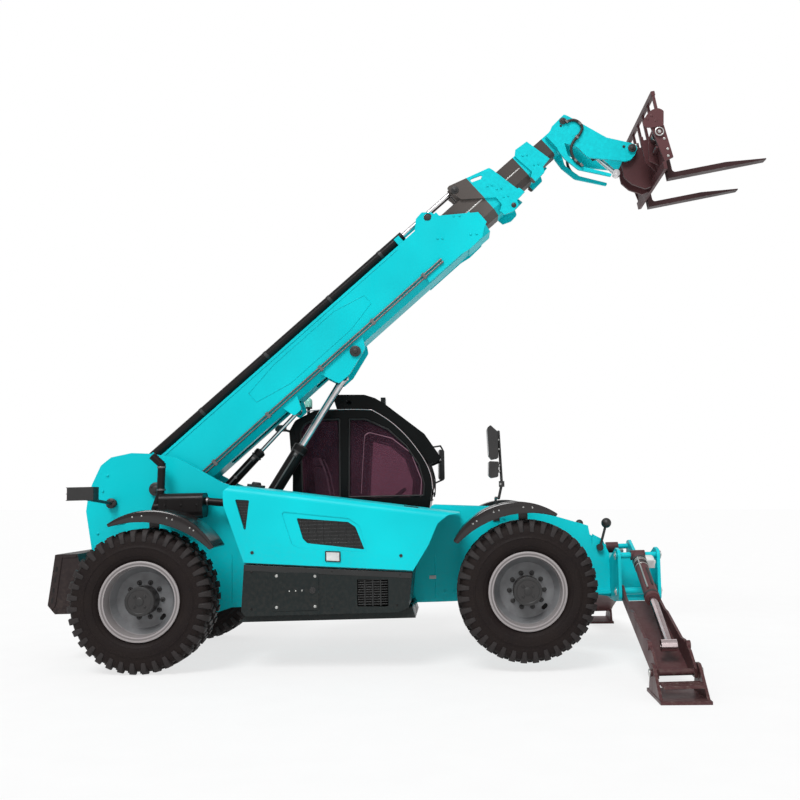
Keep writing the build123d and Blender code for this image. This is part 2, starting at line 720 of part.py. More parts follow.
with BuildPart() as cab_shell:
    slab(CHASSIS, cab_outline, cab_right, cab_left)
    slab(CHASSIS, cab_inside, cab_right + cab_wall, cab_left - cab_wall, mode=Mode.SUBTRACT)
    for zone in (front_zone, roof_zone, rear_zone):
        slab(CHASSIS, zone, frame_y0, frame_y1, mode=Mode.SUBTRACT)
    for window in right_windows:
        slab(CHASSIS, window, cab_right - 5, cab_right + cab_wall + 5, mode=Mode.SUBTRACT)
    slab(CHASSIS, door_outline, cab_left - cab_wall - 5, cab_left + 5, mode=Mode.SUBTRACT)
    for x in (1250, 2000):
        block(CHASSIS, x - 60, x + 60, chassis_half, cab_right + 50, 640, 780)
    # Door hinge pins
    for z in (800, 1400):
        block(CHASSIS, 1480, 1560, cab_left - 2, cab_left + 26, z - 42, z - 22)
        bar(CHASSIS, (1548, cab_left + 14, z - 30), (1548, cab_left + 14, z + 30), 7)
cab_shell.part.label = "cab_shell"
export_step(cab_shell.part, "parts/cab_shell.step")

# Glass of the cab, and the bars that guard its roof
glass_outline = [
    (1025, 600), (1034, 1603), (1001, 2047), (1054, 2138), (1252, 2236), (1741, 2227),
    (1805, 2192), (1968, 2106), (2137, 1965), (2273, 1777), (2338, 1566),
    (2347, 1479), (2321, 1298), (2250, 900), (2180, 600),
]
glass_inside = [
    (1031, 606), (1040, 1603), (1007, 2046), (1058, 2133), (1253, 2230), (1740, 2221),
    (1802, 2187), (1965, 2101), (2133, 1961), (2268, 1774), (2332, 1564),
    (2341, 1479), (2315, 1298), (2244, 900), (2174, 606),
]
with BuildPart() as panes:
    for zone in (front_zone, roof_zone, rear_zone):
        slab(CHASSIS, zone, frame_y0, frame_y1, inset=seat_gap)
with BuildPart() as cab_glass:
    slab(CHASSIS, glass_outline, frame_y0 + seat_gap, frame_y1 - seat_gap)
    slab(CHASSIS, glass_inside, frame_y0 - 5, frame_y1 + 5, mode=Mode.SUBTRACT)
    add(panes.part, mode=Mode.INTERSECT)
    for window in right_windows:
        slab(CHASSIS, window, cab_right + 16, cab_right + 16 + glass, inset=seat_gap)
cab_glass.part.label = "cab_glass"
export_step(cab_glass.part, "parts/cab_glass.step")

visor_line = [
    (1417, 2384), (1706, 2378), (1805, 2346), (1891, 2294), (2281, 1988), (2437, 1762),
]
with BuildPart() as roof_guard:
    for row in range(7):
        y = cab_right + 130 + row * (cab_left - cab_right - 260) / 6
        for start, end in zip(visor_line, visor_line[1:]):
            bar(CHASSIS, (start[0], y, start[1]), (end[0], y, end[1]), 9)
            if end != visor_line[-1]:
                with Locations(CHASSIS.from_local_coords(Vector(end[0], y, end[1]))):
                    Sphere(9)
    for x, z in (visor_line[0], visor_line[2], visor_line[4], visor_line[5]):
        bar(CHASSIS, (x, cab_right + 40, z), (x, cab_left - 40, z), 13)
    visor_plate = [
        (1395, 2404), (1712, 2398), (1814, 2364), (1903, 2310), (2297, 2000), (2458, 1762),
        (2440, 1735), (2355, 1700), (2150, 1900), (1850, 2150), (1744, 2200), (1460, 2200),
    ]
    for y0 in (cab_right + 36, cab_left - 44):
        slab(CHASSIS, visor_plate, y0, y0 + 8, holes=[(1560, 2320, 24)])
    slab(CHASSIS, cab_outline, cab_right, cab_left, mode=Mode.SUBTRACT)
roof_guard.part.label = "roof_guard"
export_step(roof_guard.part, "parts/roof_guard.step")

# Driver's seat and controls
seat_y = (cab_right + cab_left) / 2
with BuildPart() as seat:
    block(CHASSIS, 1290, 1620, seat_y - 180, seat_y + 180, 600, 980)
    slab(CHASSIS, [(1240, 980), (1760, 980), (1760, 1090, 40), (1240, 1070)], seat_y - 250,
         seat_y + 250)
    slab(CHASSIS, [(1250, 1060), (1370, 1060), (1250, 1800, 40), (1150, 1800, 40)], seat_y - 240,
         seat_y + 240)
seat.part.label = "seat"
export_step(seat.part, "parts/seat.step")

with BuildPart() as console:
    slab(CHASSIS, [(2000, 600), (2165, 600), (2230, 900), (2262, 1100), (2180, 1270, 30),
                   (2080, 1200, 30), (2010, 900)], seat_y - 260, seat_y + 260)
    bar(CHASSIS, (2110, seat_y, 1150), (1941, seat_y, 1340), 26)
    wheel_centre = CHASSIS.from_local_coords(Vector(1940, seat_y, 1341))
    column = CHASSIS.x_dir * -160 + CHASSIS.z_dir * 180
    with Locations(Plane(wheel_centre, z_dir=column)):
        Torus(180, 15)
        Cylinder(30, 26)
        for turn in (90, 210, 330):
            with Locations(Location((0, 0, 0), (0, 0, turn))):
                Box(176, 26, 10, align=(Align.MIN, Align.CENTER, Align.CENTER))
    block(CHASSIS, 1420, 1780, seat_y - 330, seat_y - 262, 600, 1130)
    bar(CHASSIS, (1700, seat_y - 296, 1120), (1730, seat_y - 296, 1240), 16)
console.part.label = "console"
export_step(console.part, "parts/console.step")

# Door of the cab on the left
door_leaf = [
    (1566, 646, 40), (1606, 1500), (1646, 2082, 60), (1928, 2003, 60), (2125, 1845, 80),
    (2233, 1558, 80), (2213, 1302), (2124, 666, 60),
]
door_window = [
    (1660, 1010, 40), (1680, 1500), (1712, 2000, 60), (1915, 1940, 60), (2080, 1800, 80),
    (2165, 1550, 60), (2140, 1300), (2100, 1010, 40),
]
door_low = [(1650, 720, 40), (1655, 930, 40), (2085, 930, 40), (2065, 720, 40)]
with BuildPart() as door:
    slab(CHASSIS, door_leaf, cab_left - cab_wall, cab_left)
    for window in (door_window, door_low):
        slab(CHASSIS, window, cab_left - cab_wall - 5, cab_left + 5, mode=Mode.SUBTRACT)
    for z in (800, 1400):
        block(CHASSIS, 1548, 1660, cab_left + seat_gap, cab_left + 26, z - 21.5, z + 30)
        block(CHASSIS, 1625, 1660, cab_left - 2, cab_left + 1, z - 21.5, z + 30)
        bar(CHASSIS, (1548, cab_left + 14, z - 21.5), (1548, cab_left + 14, z + 30), 12)
        bar(CHASSIS, (1548, cab_left + 14, z - 40), (1548, cab_left + 14, z + 40),
            7 + running_gap, Mode.SUBTRACT)
    block(CHASSIS, 2060, 2130, cab_left - 1, cab_left + 40, 1080, 1110)
door.part.label = "door"
export_step(door.part, "parts/door.step")

with BuildPart() as door_glass:
    for window in (door_window, door_low):
        slab(CHASSIS, window, cab_left - 24, cab_left - 24 + glass, inset=seat_gap)
door_glass.part.label = "door_glass"
export_step(door_glass.part, "parts/door_glass.step")

# Lamps, beacon and mirrors
with BuildPart() as lamps:
    block(CHASSIS, -651, -433, -1010, -880, 1420, 1532)
    bar(CHASSIS, (-512, -chassis_half + 1, 1389), (-512, -340, 1389), 42)
    bar(CHASSIS, (-512, -330, 1389), (-542, -960, 1440), 14)
    block(CHASSIS, -651, -433, 880, 1010, 1420, 1532)
    bar(CHASSIS, (-512, chassis_half - 1, 1389), (-512, 340, 1389), 42)
    bar(CHASSIS, (-512, 330, 1389), (-542, 960, 1440), 14)
    for side in (-1, 1):
        slab(CHASSIS, side_outline, -chassis_half - seat_gap, chassis_half + seat_gap,
             mode=Mode.SUBTRACT)
lamps.part.label = "rear_lamps"
export_step(lamps.part, "parts/rear_lamps.step")

# Front lamps: a dome inside the right side plate and a ball on a stalk outside it
with BuildPart() as front_lamps:
    dome_y = dome_radius + 2 - inner
    block(CHASSIS, 3680, 3778, seat_gap - inner, dome_y + dome_radius, 1040, 1052)
    bar(CHASSIS, (3730, dome_y, 1051), (3730, dome_y, 1106), dome_radius)
    with Locations(CHASSIS.from_local_coords(Vector(3730, dome_y, 1106))):
        Sphere(dome_radius)
    stalk_y = -chassis_half - 30
    pin(CHASSIS, (3902, 889), -chassis_half - seat_gap, -chassis_half - 46, 30)
    bar(CHASSIS, (3902, stalk_y, 889), (3958, stalk_y, 1080), 12)
    with Locations(CHASSIS.from_local_coords(Vector(3966, stalk_y, 1108))):
        Sphere(46)
front_lamps.part.label = "front_lamps"
export_step(front_lamps.part, "parts/front_lamps.step")

# Mirrors: two heads on a pole over the right mudguard, one on a hoop at the cab's front
pole_y = -900
with BuildPart() as mirrors:
    block(CHASSIS, 2930, 2990, -chassis_half - 14, -chassis_half - seat_gap, 1150, 1270)
    mirror_route = [
        (2958, -chassis_half - 12, 1180), (2958, -chassis_half - 24, 1360), (2962, pole_y, 1360),
        (2990, pole_y, 1480), (2972, pole_y, 1930),
    ]
    for start, end in zip(mirror_route, mirror_route[1:]):
        bar(CHASSIS, start, end, 12)
        with Locations(CHASSIS.from_local_coords(Vector(*end))):
            Sphere(12)
    block(CHASSIS, 2966, 3012, pole_y - 24, pole_y + 24, 1455, 1505)
    slab(CHASSIS, [(2900, 1983, 10), (2872, 1960, 20), (2882, 1720, 20), (2905, 1690, 10),
                   (2962, 1700, 10), (2962, 1925, 20)], pole_y - 110, pole_y + 110)
    slab(CHASSIS, [(2882, 1676, 10), (2878, 1550, 20), (2900, 1532, 10), (2958, 1540, 15),
                   (2966, 1670, 10)], pole_y - 105, pole_y + 105)
    for z in (1590, 1640, 1780, 1860):
        block(CHASSIS, 2960, 2982, pole_y - 14, pole_y + 14, z - 12, z + 12)
    cab_pole = [
        (2255, cab_left - 2, 1760), (2300, cab_left + 90, 1900), (2440, cab_left + 120, 1920),
        (2462, cab_left + 120, 1880), (2466, cab_left + 120, 1560), (2330, cab_left - 2, 1500),
    ]
    for start, end in zip(cab_pole, cab_pole[1:]):
        bar(CHASSIS, start, end, 9)
        if end != cab_pole[-1]:
            with Locations(CHASSIS.from_local_coords(Vector(*end))):
                Sphere(9)
    slab(CHASSIS, [(2425, 1880, 12), (2418, 1560, 12), (2460, 1546, 12), (2480, 1570, 8),
                   (2480, 1870, 12)], cab_left + 30, cab_left + 230)
    slab(CHASSIS, cab_outline, cab_right, cab_left, mode=Mode.SUBTRACT)
mirrors.part.label = "mirrors"
export_step(mirrors.part, "parts/mirrors.step")

# Beacon and rear lamp of the cab, and the work lamp on its visor
with BuildPart() as cab_lamps:
    bar(CHASSIS, (1109, seat_y, 2150), (1109, seat_y, 2310), 16)
    bar(CHASSIS, (1109, seat_y, 2302), (1109, seat_y, 2385), 37)
    with Locations(CHASSIS.from_local_coords(Vector(1109, seat_y, 2375))):
        Sphere(37)
    block(CHASSIS, 800, 890, 560, 700, 2070, 2130)
    bar(CHASSIS, (860, 630, 2090), (1030, 630, 2040), 12)
    bar(CHASSIS, (1873, seat_y - 48, 2100), (1873, seat_y - 48, 2330), 12)
    block(CHASSIS, 1850, 1896, seat_y - 83, seat_y - 13, 2318, 2396)
    slab(CHASSIS, cab_outline, cab_right, cab_left, mode=Mode.SUBTRACT)
cab_lamps.part.label = "cab_lamps"
export_step(cab_lamps.part, "parts/cab_lamps.step")

# Boom sections


def tube_section(half, top, web, bottom, drop):
    """Section across a boom piece, with its lower corners cut."""
    return [
        (-half, top), (half, top), (half, web), (half - drop, bottom),
        (drop - half, bottom), (-half, web),
    ]


def boom_tube(half, top, web, bottom, drop, wall, tail, mouth):
    """Hollow boom piece open at both ends."""
    across(BOOM, tube_section(half, top, web, bottom, drop), tail, mouth)
    inner_drop = drop + wall * (math.sqrt(2) - 1)
    across(
        BOOM,
        tube_section(half - wall, top - wall, web + wall * 0.3, bottom + wall,
                     min(inner_drop, drop)),
        tail - 1,
        mouth + 1,
        mode=Mode.SUBTRACT,
    )


def pads(s, half, top, bottom, out_half, out_top, out_bottom, foot_inner, foot_outer):
    """Wear pads between two nested pieces; the first sizes are where they start."""
    for side in (-1, 1):
        block(BOOM, s, s + 120, side * half, side * out_half, -40, 60)
        block(BOOM, s, s + 120, side * foot_inner, side * foot_outer, out_bottom, bottom)
    if out_top > top:
        block(BOOM, s, s + 120, -70, 70, top, out_top)


pivot_s, pivot_n = turned(pivot_x - datum_x, pivot_z - datum_z, -boom_slope)
slot_half = 75
lift_slot = (1650, 2010)
level_slot = (590, 1450)
base_head = [
    (3100, 240), (3306, 240), (3414, 338, 20), (3498, 349, 20), (3565, 289), (3588, 224),
    (3900, -9), (3897, -133), (3848, -155), (3766, -214, 20), (3607, -221), (3500, -203),
    (3100, -203),
]
with BuildPart() as boom_base:
    boom_tube(base_half, base_top, base_web, base_bottom, 53, base_wall, base_tail, 3600)
    both_sides(BOOM, base_head, base_half - base_wall, base_half,
               holes=[(3509, 273, 40), (3575, 119, 26)])
    across(BOOM, tube_section(base_half, 0, base_web, base_bottom - 10, 53), 3600, 3870)
    across(BOOM, tube_section(base_half - base_wall, 30, base_web + 4, base_bottom + base_wall, 53),
           3590, 3880, mode=Mode.SUBTRACT)
    for side in (-1, 1):
        pin(BOOM, (pivot_s, pivot_n), side * (base_half - base_wall - 8),
            side * (base_half + 1), 110)
        slab(BOOM, [(1760, -160), (1830, -345, 30), (1960, -345, 30), (2230, -262, 40),
                    (2290, -160)], side * (base_half - 32), side * (base_half - 8))
        pin(BOOM, (2144, -221), side * (base_half - 9), side * (base_half + 6), 44)
        slab(BOOM, [(1290, -160), (1320, -290, 30), (1410, -290, 30), (1470, -160)],
             side * (base_half - 32), side * (base_half - 8))
    pin(BOOM, (pivot_s, pivot_n), -base_half - 2, base_half + 2, pivot_radius + running_gap,
        Mode.SUBTRACT)
    block(BOOM, *lift_slot, -slot_half, slot_half, base_bottom - 1, base_bottom + base_wall + 1,
          Mode.SUBTRACT)
    block(BOOM, *level_slot, -slot_half, slot_half, base_bottom - 1, base_bottom + base_wall + 1,
          Mode.SUBTRACT)
    pads(3720, second_half + seat_gap, 0, second_bottom - seat_gap, base_half - base_wall + 1, 0,
         base_bottom + 4, 84, 104)
    # Cradle of the extension cylinder on top
    for s in (60, 3140):
        block(BOOM, s, s + 60, -60, 60, base_top - 1, extension_height + 20)
    bar(BOOM, (55, 0, extension_height), (3205, 0, extension_height),
        extension_radius + running_gap, Mode.SUBTRACT)
boom_base.part.label = "boom_base"
export_step(boom_base.part, "parts/boom_base.step")

# Oil pipes along the foot of the boom's sides, with their end fittings
pipe_radius = 8
pipe_gap = 4
with BuildPart() as boom_pipes:
    for side in (-1, 1):
        for level in (-112, -140):
            pipe_y = side * (base_half + pipe_gap + pipe_radius)
            bar(BOOM, (330, pipe_y, level), (3300, pipe_y, level), pipe_radius)
            bar(BOOM, (3290, pipe_y, level), (3330, pipe_y, level), pipe_radius + 3)
        for s in (500, 1150, 1800, 2450, 3100):
            block(BOOM, s - 14, s + 14, side * (base_half + seat_gap),
                  side * (base_half + 2 * (pipe_gap + pipe_radius)), -156, -96)
boom_pipes.part.label = "boom_pipes"
export_step(boom_pipes.part, "parts/boom_pipes.step")

with BuildPart() as extension_barrel:
    bar(BOOM, (40, 0, extension_height), (3237, 0, extension_height), extension_radius)
    bar(BOOM, (2845, 0, extension_height), (3238, 0, extension_height),
        extension_rod_radius + running_gap, Mode.SUBTRACT)
extension_barrel.part.label = "extension_barrel"
export_step(extension_barrel.part, "parts/extension_barrel.step")

second_collar = [
    (3835, 361, 10), (3866, 367, 10), (4272, 242, 20), (4284, 201), (4334, -88), (4354, -93),
    (4367, -160), (4258, -169), (4238, -218, 20), (4154, -227, 20), (4071, -194), (4063, -138),
    (4120, -104), (4125, -17), (3863, 193),
]
with BuildPart() as boom_second:
    boom_tube(second_half, second_top, second_web, second_bottom, 55, second_wall, second_tail,
              second_mouth)
    both_sides(BOOM, second_collar, second_half - 1, second_half + 22)
    both_sides(BOOM, [(4047, 248, 15), (4158, 206, 15), (4171, 238, 15), (4060, 280, 15)],
               second_half - 2, second_half + 23, mode=Mode.SUBTRACT)
    across(BOOM, [(-second_half - 22, second_top), (second_half + 22, second_top),
                  (second_half + 22, second_top + 20), (-second_half - 22, second_top + 20)],
           4150, 4262)
    for side in (-1, 1):
        block(BOOM, 3845, 3915, side * 20, side * 60, second_top - 1, extension_height + 28)
    bar(BOOM, (3875, -70, extension_height), (3875, 70, extension_height), 20)
    pads(200, second_half - 1, second_top - 1, second_bottom + 1, base_half - base_wall - seat_gap,
         base_top - base_wall - seat_gap, base_bottom + base_wall + seat_gap, 84, 104)
    pads(4110, third_half + seat_gap, third_top + seat_gap, third_bottom - seat_gap,
         second_half - second_wall + 1, second_top - second_wall + 1,
         second_bottom + second_wall - 1, 40, 75)
boom_second.part.label = "boom_second"
export_step(boom_second.part, "parts/boom_second.step")

# Oil lines on top of the second piece
with BuildPart() as second_lines:
    for line_y in (-88, -50, 50, 88):
        line_n = second_top + 12 + seat_gap
        bar(BOOM, (420, line_y, line_n), (3835, line_y, line_n), 12)
second_lines.part.label = "second_lines"
export_step(second_lines.part, "parts/second_lines.step")

with BuildPart() as extension_rod:
    bar(BOOM, (2960, 0, extension_height), (3842, 0, extension_height), extension_rod_radius)
    bar(BOOM, (3875, -18, extension_height), (3875, 18, extension_height), 36)
    bar(BOOM, (3875, -19, extension_height), (3875, 19, extension_height), 20 + running_gap,
        Mode.SUBTRACT)
extension_rod.part.label = "extension_rod"
export_step(extension_rod.part, "parts/extension_rod.step")

third_collar = [
    (4540, 168), (4587, 210, 10), (4726, 198, 10), (4776, -74), (4675, -90), (4652, -140, 15),
    (4499, -149, 15), (4489, -105), (4562, -56),
]
with BuildPart() as boom_third:
    boom_tube(third_half, third_top, third_web, third_bottom, 44, third_wall, third_tail,
              third_mouth)
    both_sides(BOOM, third_collar, third_half - 1, third_half + 20)
    block(BOOM, 4590, 4676, -third_half - 20, third_half + 20, third_top - 1, third_top + 16)
    pads(third_tail, third_half - 1, third_top - 1, third_bottom + 1,
         second_half - second_wall - seat_gap, second_top - second_wall - seat_gap,
         second_bottom + second_wall + seat_gap, 40, 75)
    pads(4540, fourth_half + seat_gap, fourth_top + seat_gap, fourth_bottom - seat_gap,
         third_half - third_wall + 1, third_top - third_wall + 1,
         third_bottom + third_wall - 1, 30, 70)
boom_third.part.label = "boom_third"
export_step(boom_third.part, "parts/boom_third.step")

head_upper = [
    (4900, 110), (4967, 124), (5007, 143, 10), (5178, 154, 20), (5201, 98), (5249, -48),
    (5327, -291), (5475, -500, 40), (5490, -560, 30), (5422, -600, 20), (5352, -610, 20),
    (5303, -587), (5058, -316, 60), (5048, -165), (4985, -60, 30), (4959, -33, 20),
    (4900, -60),
]
head_lower = [
    (4892, -60), (4959, -33), (4985, -60), (4925, -173, 60), (4960, -350, 60), (5121, -590, 12),
    (5094, -600, 12), (4905, -340, 60), (4880, -173, 40),
]
with BuildPart() as boom_fourth:
    across(BOOM, tube_section(fourth_half, fourth_top, -40, fourth_bottom, 26), fourth_tail, 4960)
    across(BOOM, tube_section(fourth_half - fourth_wall, fourth_top - fourth_wall, -37,
                              fourth_bottom + fourth_wall, 26), fourth_tail - 1, 4950,
           mode=Mode.SUBTRACT)
    for side in (-1, 1):
        slab(BOOM, [(4892, 110), (4892, -60), (4990, -60), (4990, 120)],
             side * (fourth_half - 1), side * (head_inner + 1))
    both_sides(BOOM, head_upper, head_inner, head_inner + head_plate)
    both_sides(BOOM, head_lower, head_inner, head_inner + head_plate)
    pin(BOOM, carriage_pivot, -head_inner - head_plate - 14, head_inner + head_plate + 14,
        carriage_pin_radius)
    for side in (-1, 1):
        pin(BOOM, carriage_pivot, side * head_inner, side * (head_inner + head_plate), 50)
        pin(BOOM, tilt_base, side * (tilt_eye_width / 2 + 3), side * (head_inner + 1), 40)
    pin(BOOM, tilt_base, -head_inner - head_plate - 8, head_inner + head_plate + 8, 22)
    pads(fourth_tail, fourth_half - 1, fourth_top - 1, fourth_bottom + 1,
         third_half - third_wall - seat_gap, third_top - third_wall - seat_gap,
         third_bottom + third_wall + seat_gap, 30, 70)
boom_fourth.part.label = "boom_fourth"
export_step(boom_fourth.part, "parts/boom_fourth.step")


def cylinder_frame(frame, base, eye):
    """Frame at a cylinder's base pin with X along the cylinder, and the pins' distance."""
    run = eye[0] - base[0]
    rise = eye[1] - base[1]
    return side_frame(frame, base[0], base[1], math.atan2(rise, run)), math.hypot(run, rise)


def barrel(frame, base_radius, pin_radius, width, radius, length, bore_radius, cap):
    """Cylinder barrel with its base eye, bored for the rod."""
    bar(frame, (base_radius * 0.7, 0, 0), (length, 0, 0), radius)
    bar(frame, (length - cap, 0, 0), (length, 0, 0), radius + 6)
    pin(frame, (0, 0), -width / 2, width / 2, base_radius)
    pin(frame, (0, 0), -width / 2 - 1, width / 2 + 1, pin_radius + running_gap, Mode.SUBTRACT)
    block(frame, -base_radius - 5, base_radius * 1.5, width / 2, radius + 5, -radius - 5,
          radius + 5, Mode.SUBTRACT)
    block(frame, -base_radius - 5, base_radius * 1.5, -radius - 5, -width / 2, -radius - 5,
          radius + 5, Mode.SUBTRACT)
    bar(frame, (base_radius + bore_end, 0, 0), (length + 1, 0, 0), bore_radius + running_gap,
        Mode.SUBTRACT)


def piston_rod(frame, reach, start, radius, eye_radius, width, hole):
    """Rod with its eye at the far end."""
    bar(frame, (start, 0, 0), (reach, 0, 0), radius)
    pin(frame, (reach, 0), -width / 2, width / 2, eye_radius)
    pin(frame, (reach, 0), -width / 2 - 1, width / 2 + 1, hole, Mode.SUBTRACT)


LIFT, lift_reach = cylinder_frame(CHASSIS, lift_base, boom_to_level(*lift_eye))
with BuildPart() as lift_barrel:
    barrel(LIFT, 58, 30, lift_base_width, lift_barrel_radius, lift_barrel_length,
           lift_rod_radius, 60)
lift_barrel.part.label = "lift_barrel"
export_step(lift_barrel.part, "parts/lift_barrel.step")
with BuildPart() as lift_rod:
    piston_rod(LIFT, lift_reach, 850, lift_rod_radius, lift_eye_radius, lift_eye_width, 20)
lift_rod.part.label = "lift_rod"
export_step(lift_rod.part, "parts/lift_rod.step")

LEVEL, level_reach = cylinder_frame(CHASSIS, level_base, boom_to_level(*level_eye))
with BuildPart() as level_barrel:
    barrel(LEVEL, 40, 22, level_eye_width, level_barrel_radius, level_barrel_length,
           level_rod_radius, 40)
level_barrel.part.label = "level_barrel"
export_step(level_barrel.part, "parts/level_barrel.step")
with BuildPart() as level_rod:
    piston_rod(LEVEL, level_reach, 560, level_rod_radius, level_eye_radius, level_eye_width, 16)
level_rod.part.label = "level_rod"
export_step(level_rod.part, "parts/level_rod.step")

TILT, tilt_reach = cylinder_frame(BOOM, tilt_base, tilt_eye)
with BuildPart() as tilt_barrel:
    barrel(TILT, 40, 22, tilt_eye_width, tilt_barrel_radius, tilt_barrel_length,
           tilt_rod_radius, 30)
tilt_barrel.part.label = "tilt_barrel"
export_step(tilt_barrel.part, "parts/tilt_barrel.step")
with BuildPart() as tilt_rod:
    piston_rod(TILT, tilt_reach, 275, tilt_rod_radius, tilt_eye_radius, tilt_eye_width, 16)
tilt_rod.part.label = "tilt_rod"
export_step(tilt_rod.part, "parts/tilt_rod.step")

# Carriage that carries the forks
cheek = [
    (-52, 20, 20), (0, 58, 20), (90, 60), (130, 150), (160, 150), (160, -380), (60, -400, 20),
    (-60, -330, 60), (-120, -250, 20), (-120, -110, 20), (-52, -30, 20),
]
with BuildPart() as carriage:
    for side in (-1, 1):
        slab(TOOL, cheek, side * 78, side * 108)
        slab(TOOL, [(148, 150), (160, 150), (160, -380), (148, -380)], side * 60,
             side * carriage_half)
        slab(TOOL, [(90, 10), (215, 10), (235, -305), (148, -330), (100, -40)],
             side * (carriage_half - 22), side * carriage_half)
        slab(TOOL, [(60, 40), (150, 60), (150, -330), (60, -200)], side * 300, side * 318)
    block(TOOL, 128, 160, -carriage_half, carriage_half, -400, -330)
    bar(TOOL, (fork_shaft[0], -carriage_half - 12, fork_shaft[1]),
        (fork_shaft[0], carriage_half + 12, fork_shaft[1]), fork_shaft_radius)
    pin(TOOL, (0, 0), -110, 110, carriage_pin_radius + running_gap, Mode.SUBTRACT)
    block(TOOL, 90, 240, -carriage_half - 1, carriage_half + 1, 10, 300, Mode.SUBTRACT)
    for side in (-1, 1):
        eye_y = side * fork_spacing / 2
        block(TOOL, 90, 240, eye_y - fork_width / 2 - 1, eye_y + fork_width / 2 + 1, -108, 200,
              Mode.SUBTRACT)
    bar(TOOL, (fork_shaft[0], -carriage_half - 12, fork_shaft[1]),
        (fork_shaft[0], carriage_half + 12, fork_shaft[1]), fork_shaft_radius)
carriage.part.label = "carriage"
export_step(carriage.part, "parts/carriage.step")

with BuildPart() as backrest:
    block(TOOL, 165, 200, -carriage_half, carriage_half, 300, 340)
    for row in range(6):
        y = -carriage_half + 18 + row * (2 * carriage_half - 36) / 5
        block(TOOL, 170, 194, y - 16, y + 16, 12, 301)
    block(TOOL, 168, 198, -carriage_half, carriage_half, 10 + seat_gap, 40)
backrest.part.label = "backrest"
export_step(backrest.part, "parts/backrest.step")

fork_side = [
    (fork_back, fork_bottom + 10, 30), (fork_back + 10, fork_bottom),
    (fork_back + fork_length, fork_bottom), (fork_back + fork_length, fork_bottom + 10),
    (fork_back + fork_length - 380, fork_bottom + fork_thickness),
    (fork_back + fork_thickness, fork_bottom + fork_thickness, 30),
    (fork_back + fork_thickness, 0, 10), (fork_back, 0, 10),
]
for name, side in (("right", -1), ("left", 1)):
    with BuildPart() as fork:
        eye_y = side * fork_spacing / 2
        slab(TOOL, [(fork_back, fork_bottom), *fork_side[2:]], eye_y - fork_width / 2,
             eye_y + fork_width / 2)
        pin(TOOL, fork_shaft, eye_y - fork_width / 2, eye_y + fork_width / 2, 46)
        pin(TOOL, fork_shaft, eye_y - fork_width / 2 - 1, eye_y + fork_width / 2 + 1,
            fork_shaft_radius + seat_gap, Mode.SUBTRACT)
    fork.part.label = f"fork_{name}"
    export_step(fork.part, f"parts/fork_{name}.step")

# Stabilisers: leg, foot and cylinder on each side
leg_run = foot_pin[0] - leg_pivot[0]
leg_drop = leg_pivot[1] - foot_pin[1]
leg_length = math.hypot(leg_run, leg_drop)
leg_angle = math.atan2(-leg_drop, leg_run)


def leg_point(side, along, up):
    """Point (y, z) in the chassis frame from the leg's own run and rise."""
    x, z = turned(along, up, leg_angle)
    return side * (leg_pivot[0] + x), leg_pivot[1] + z


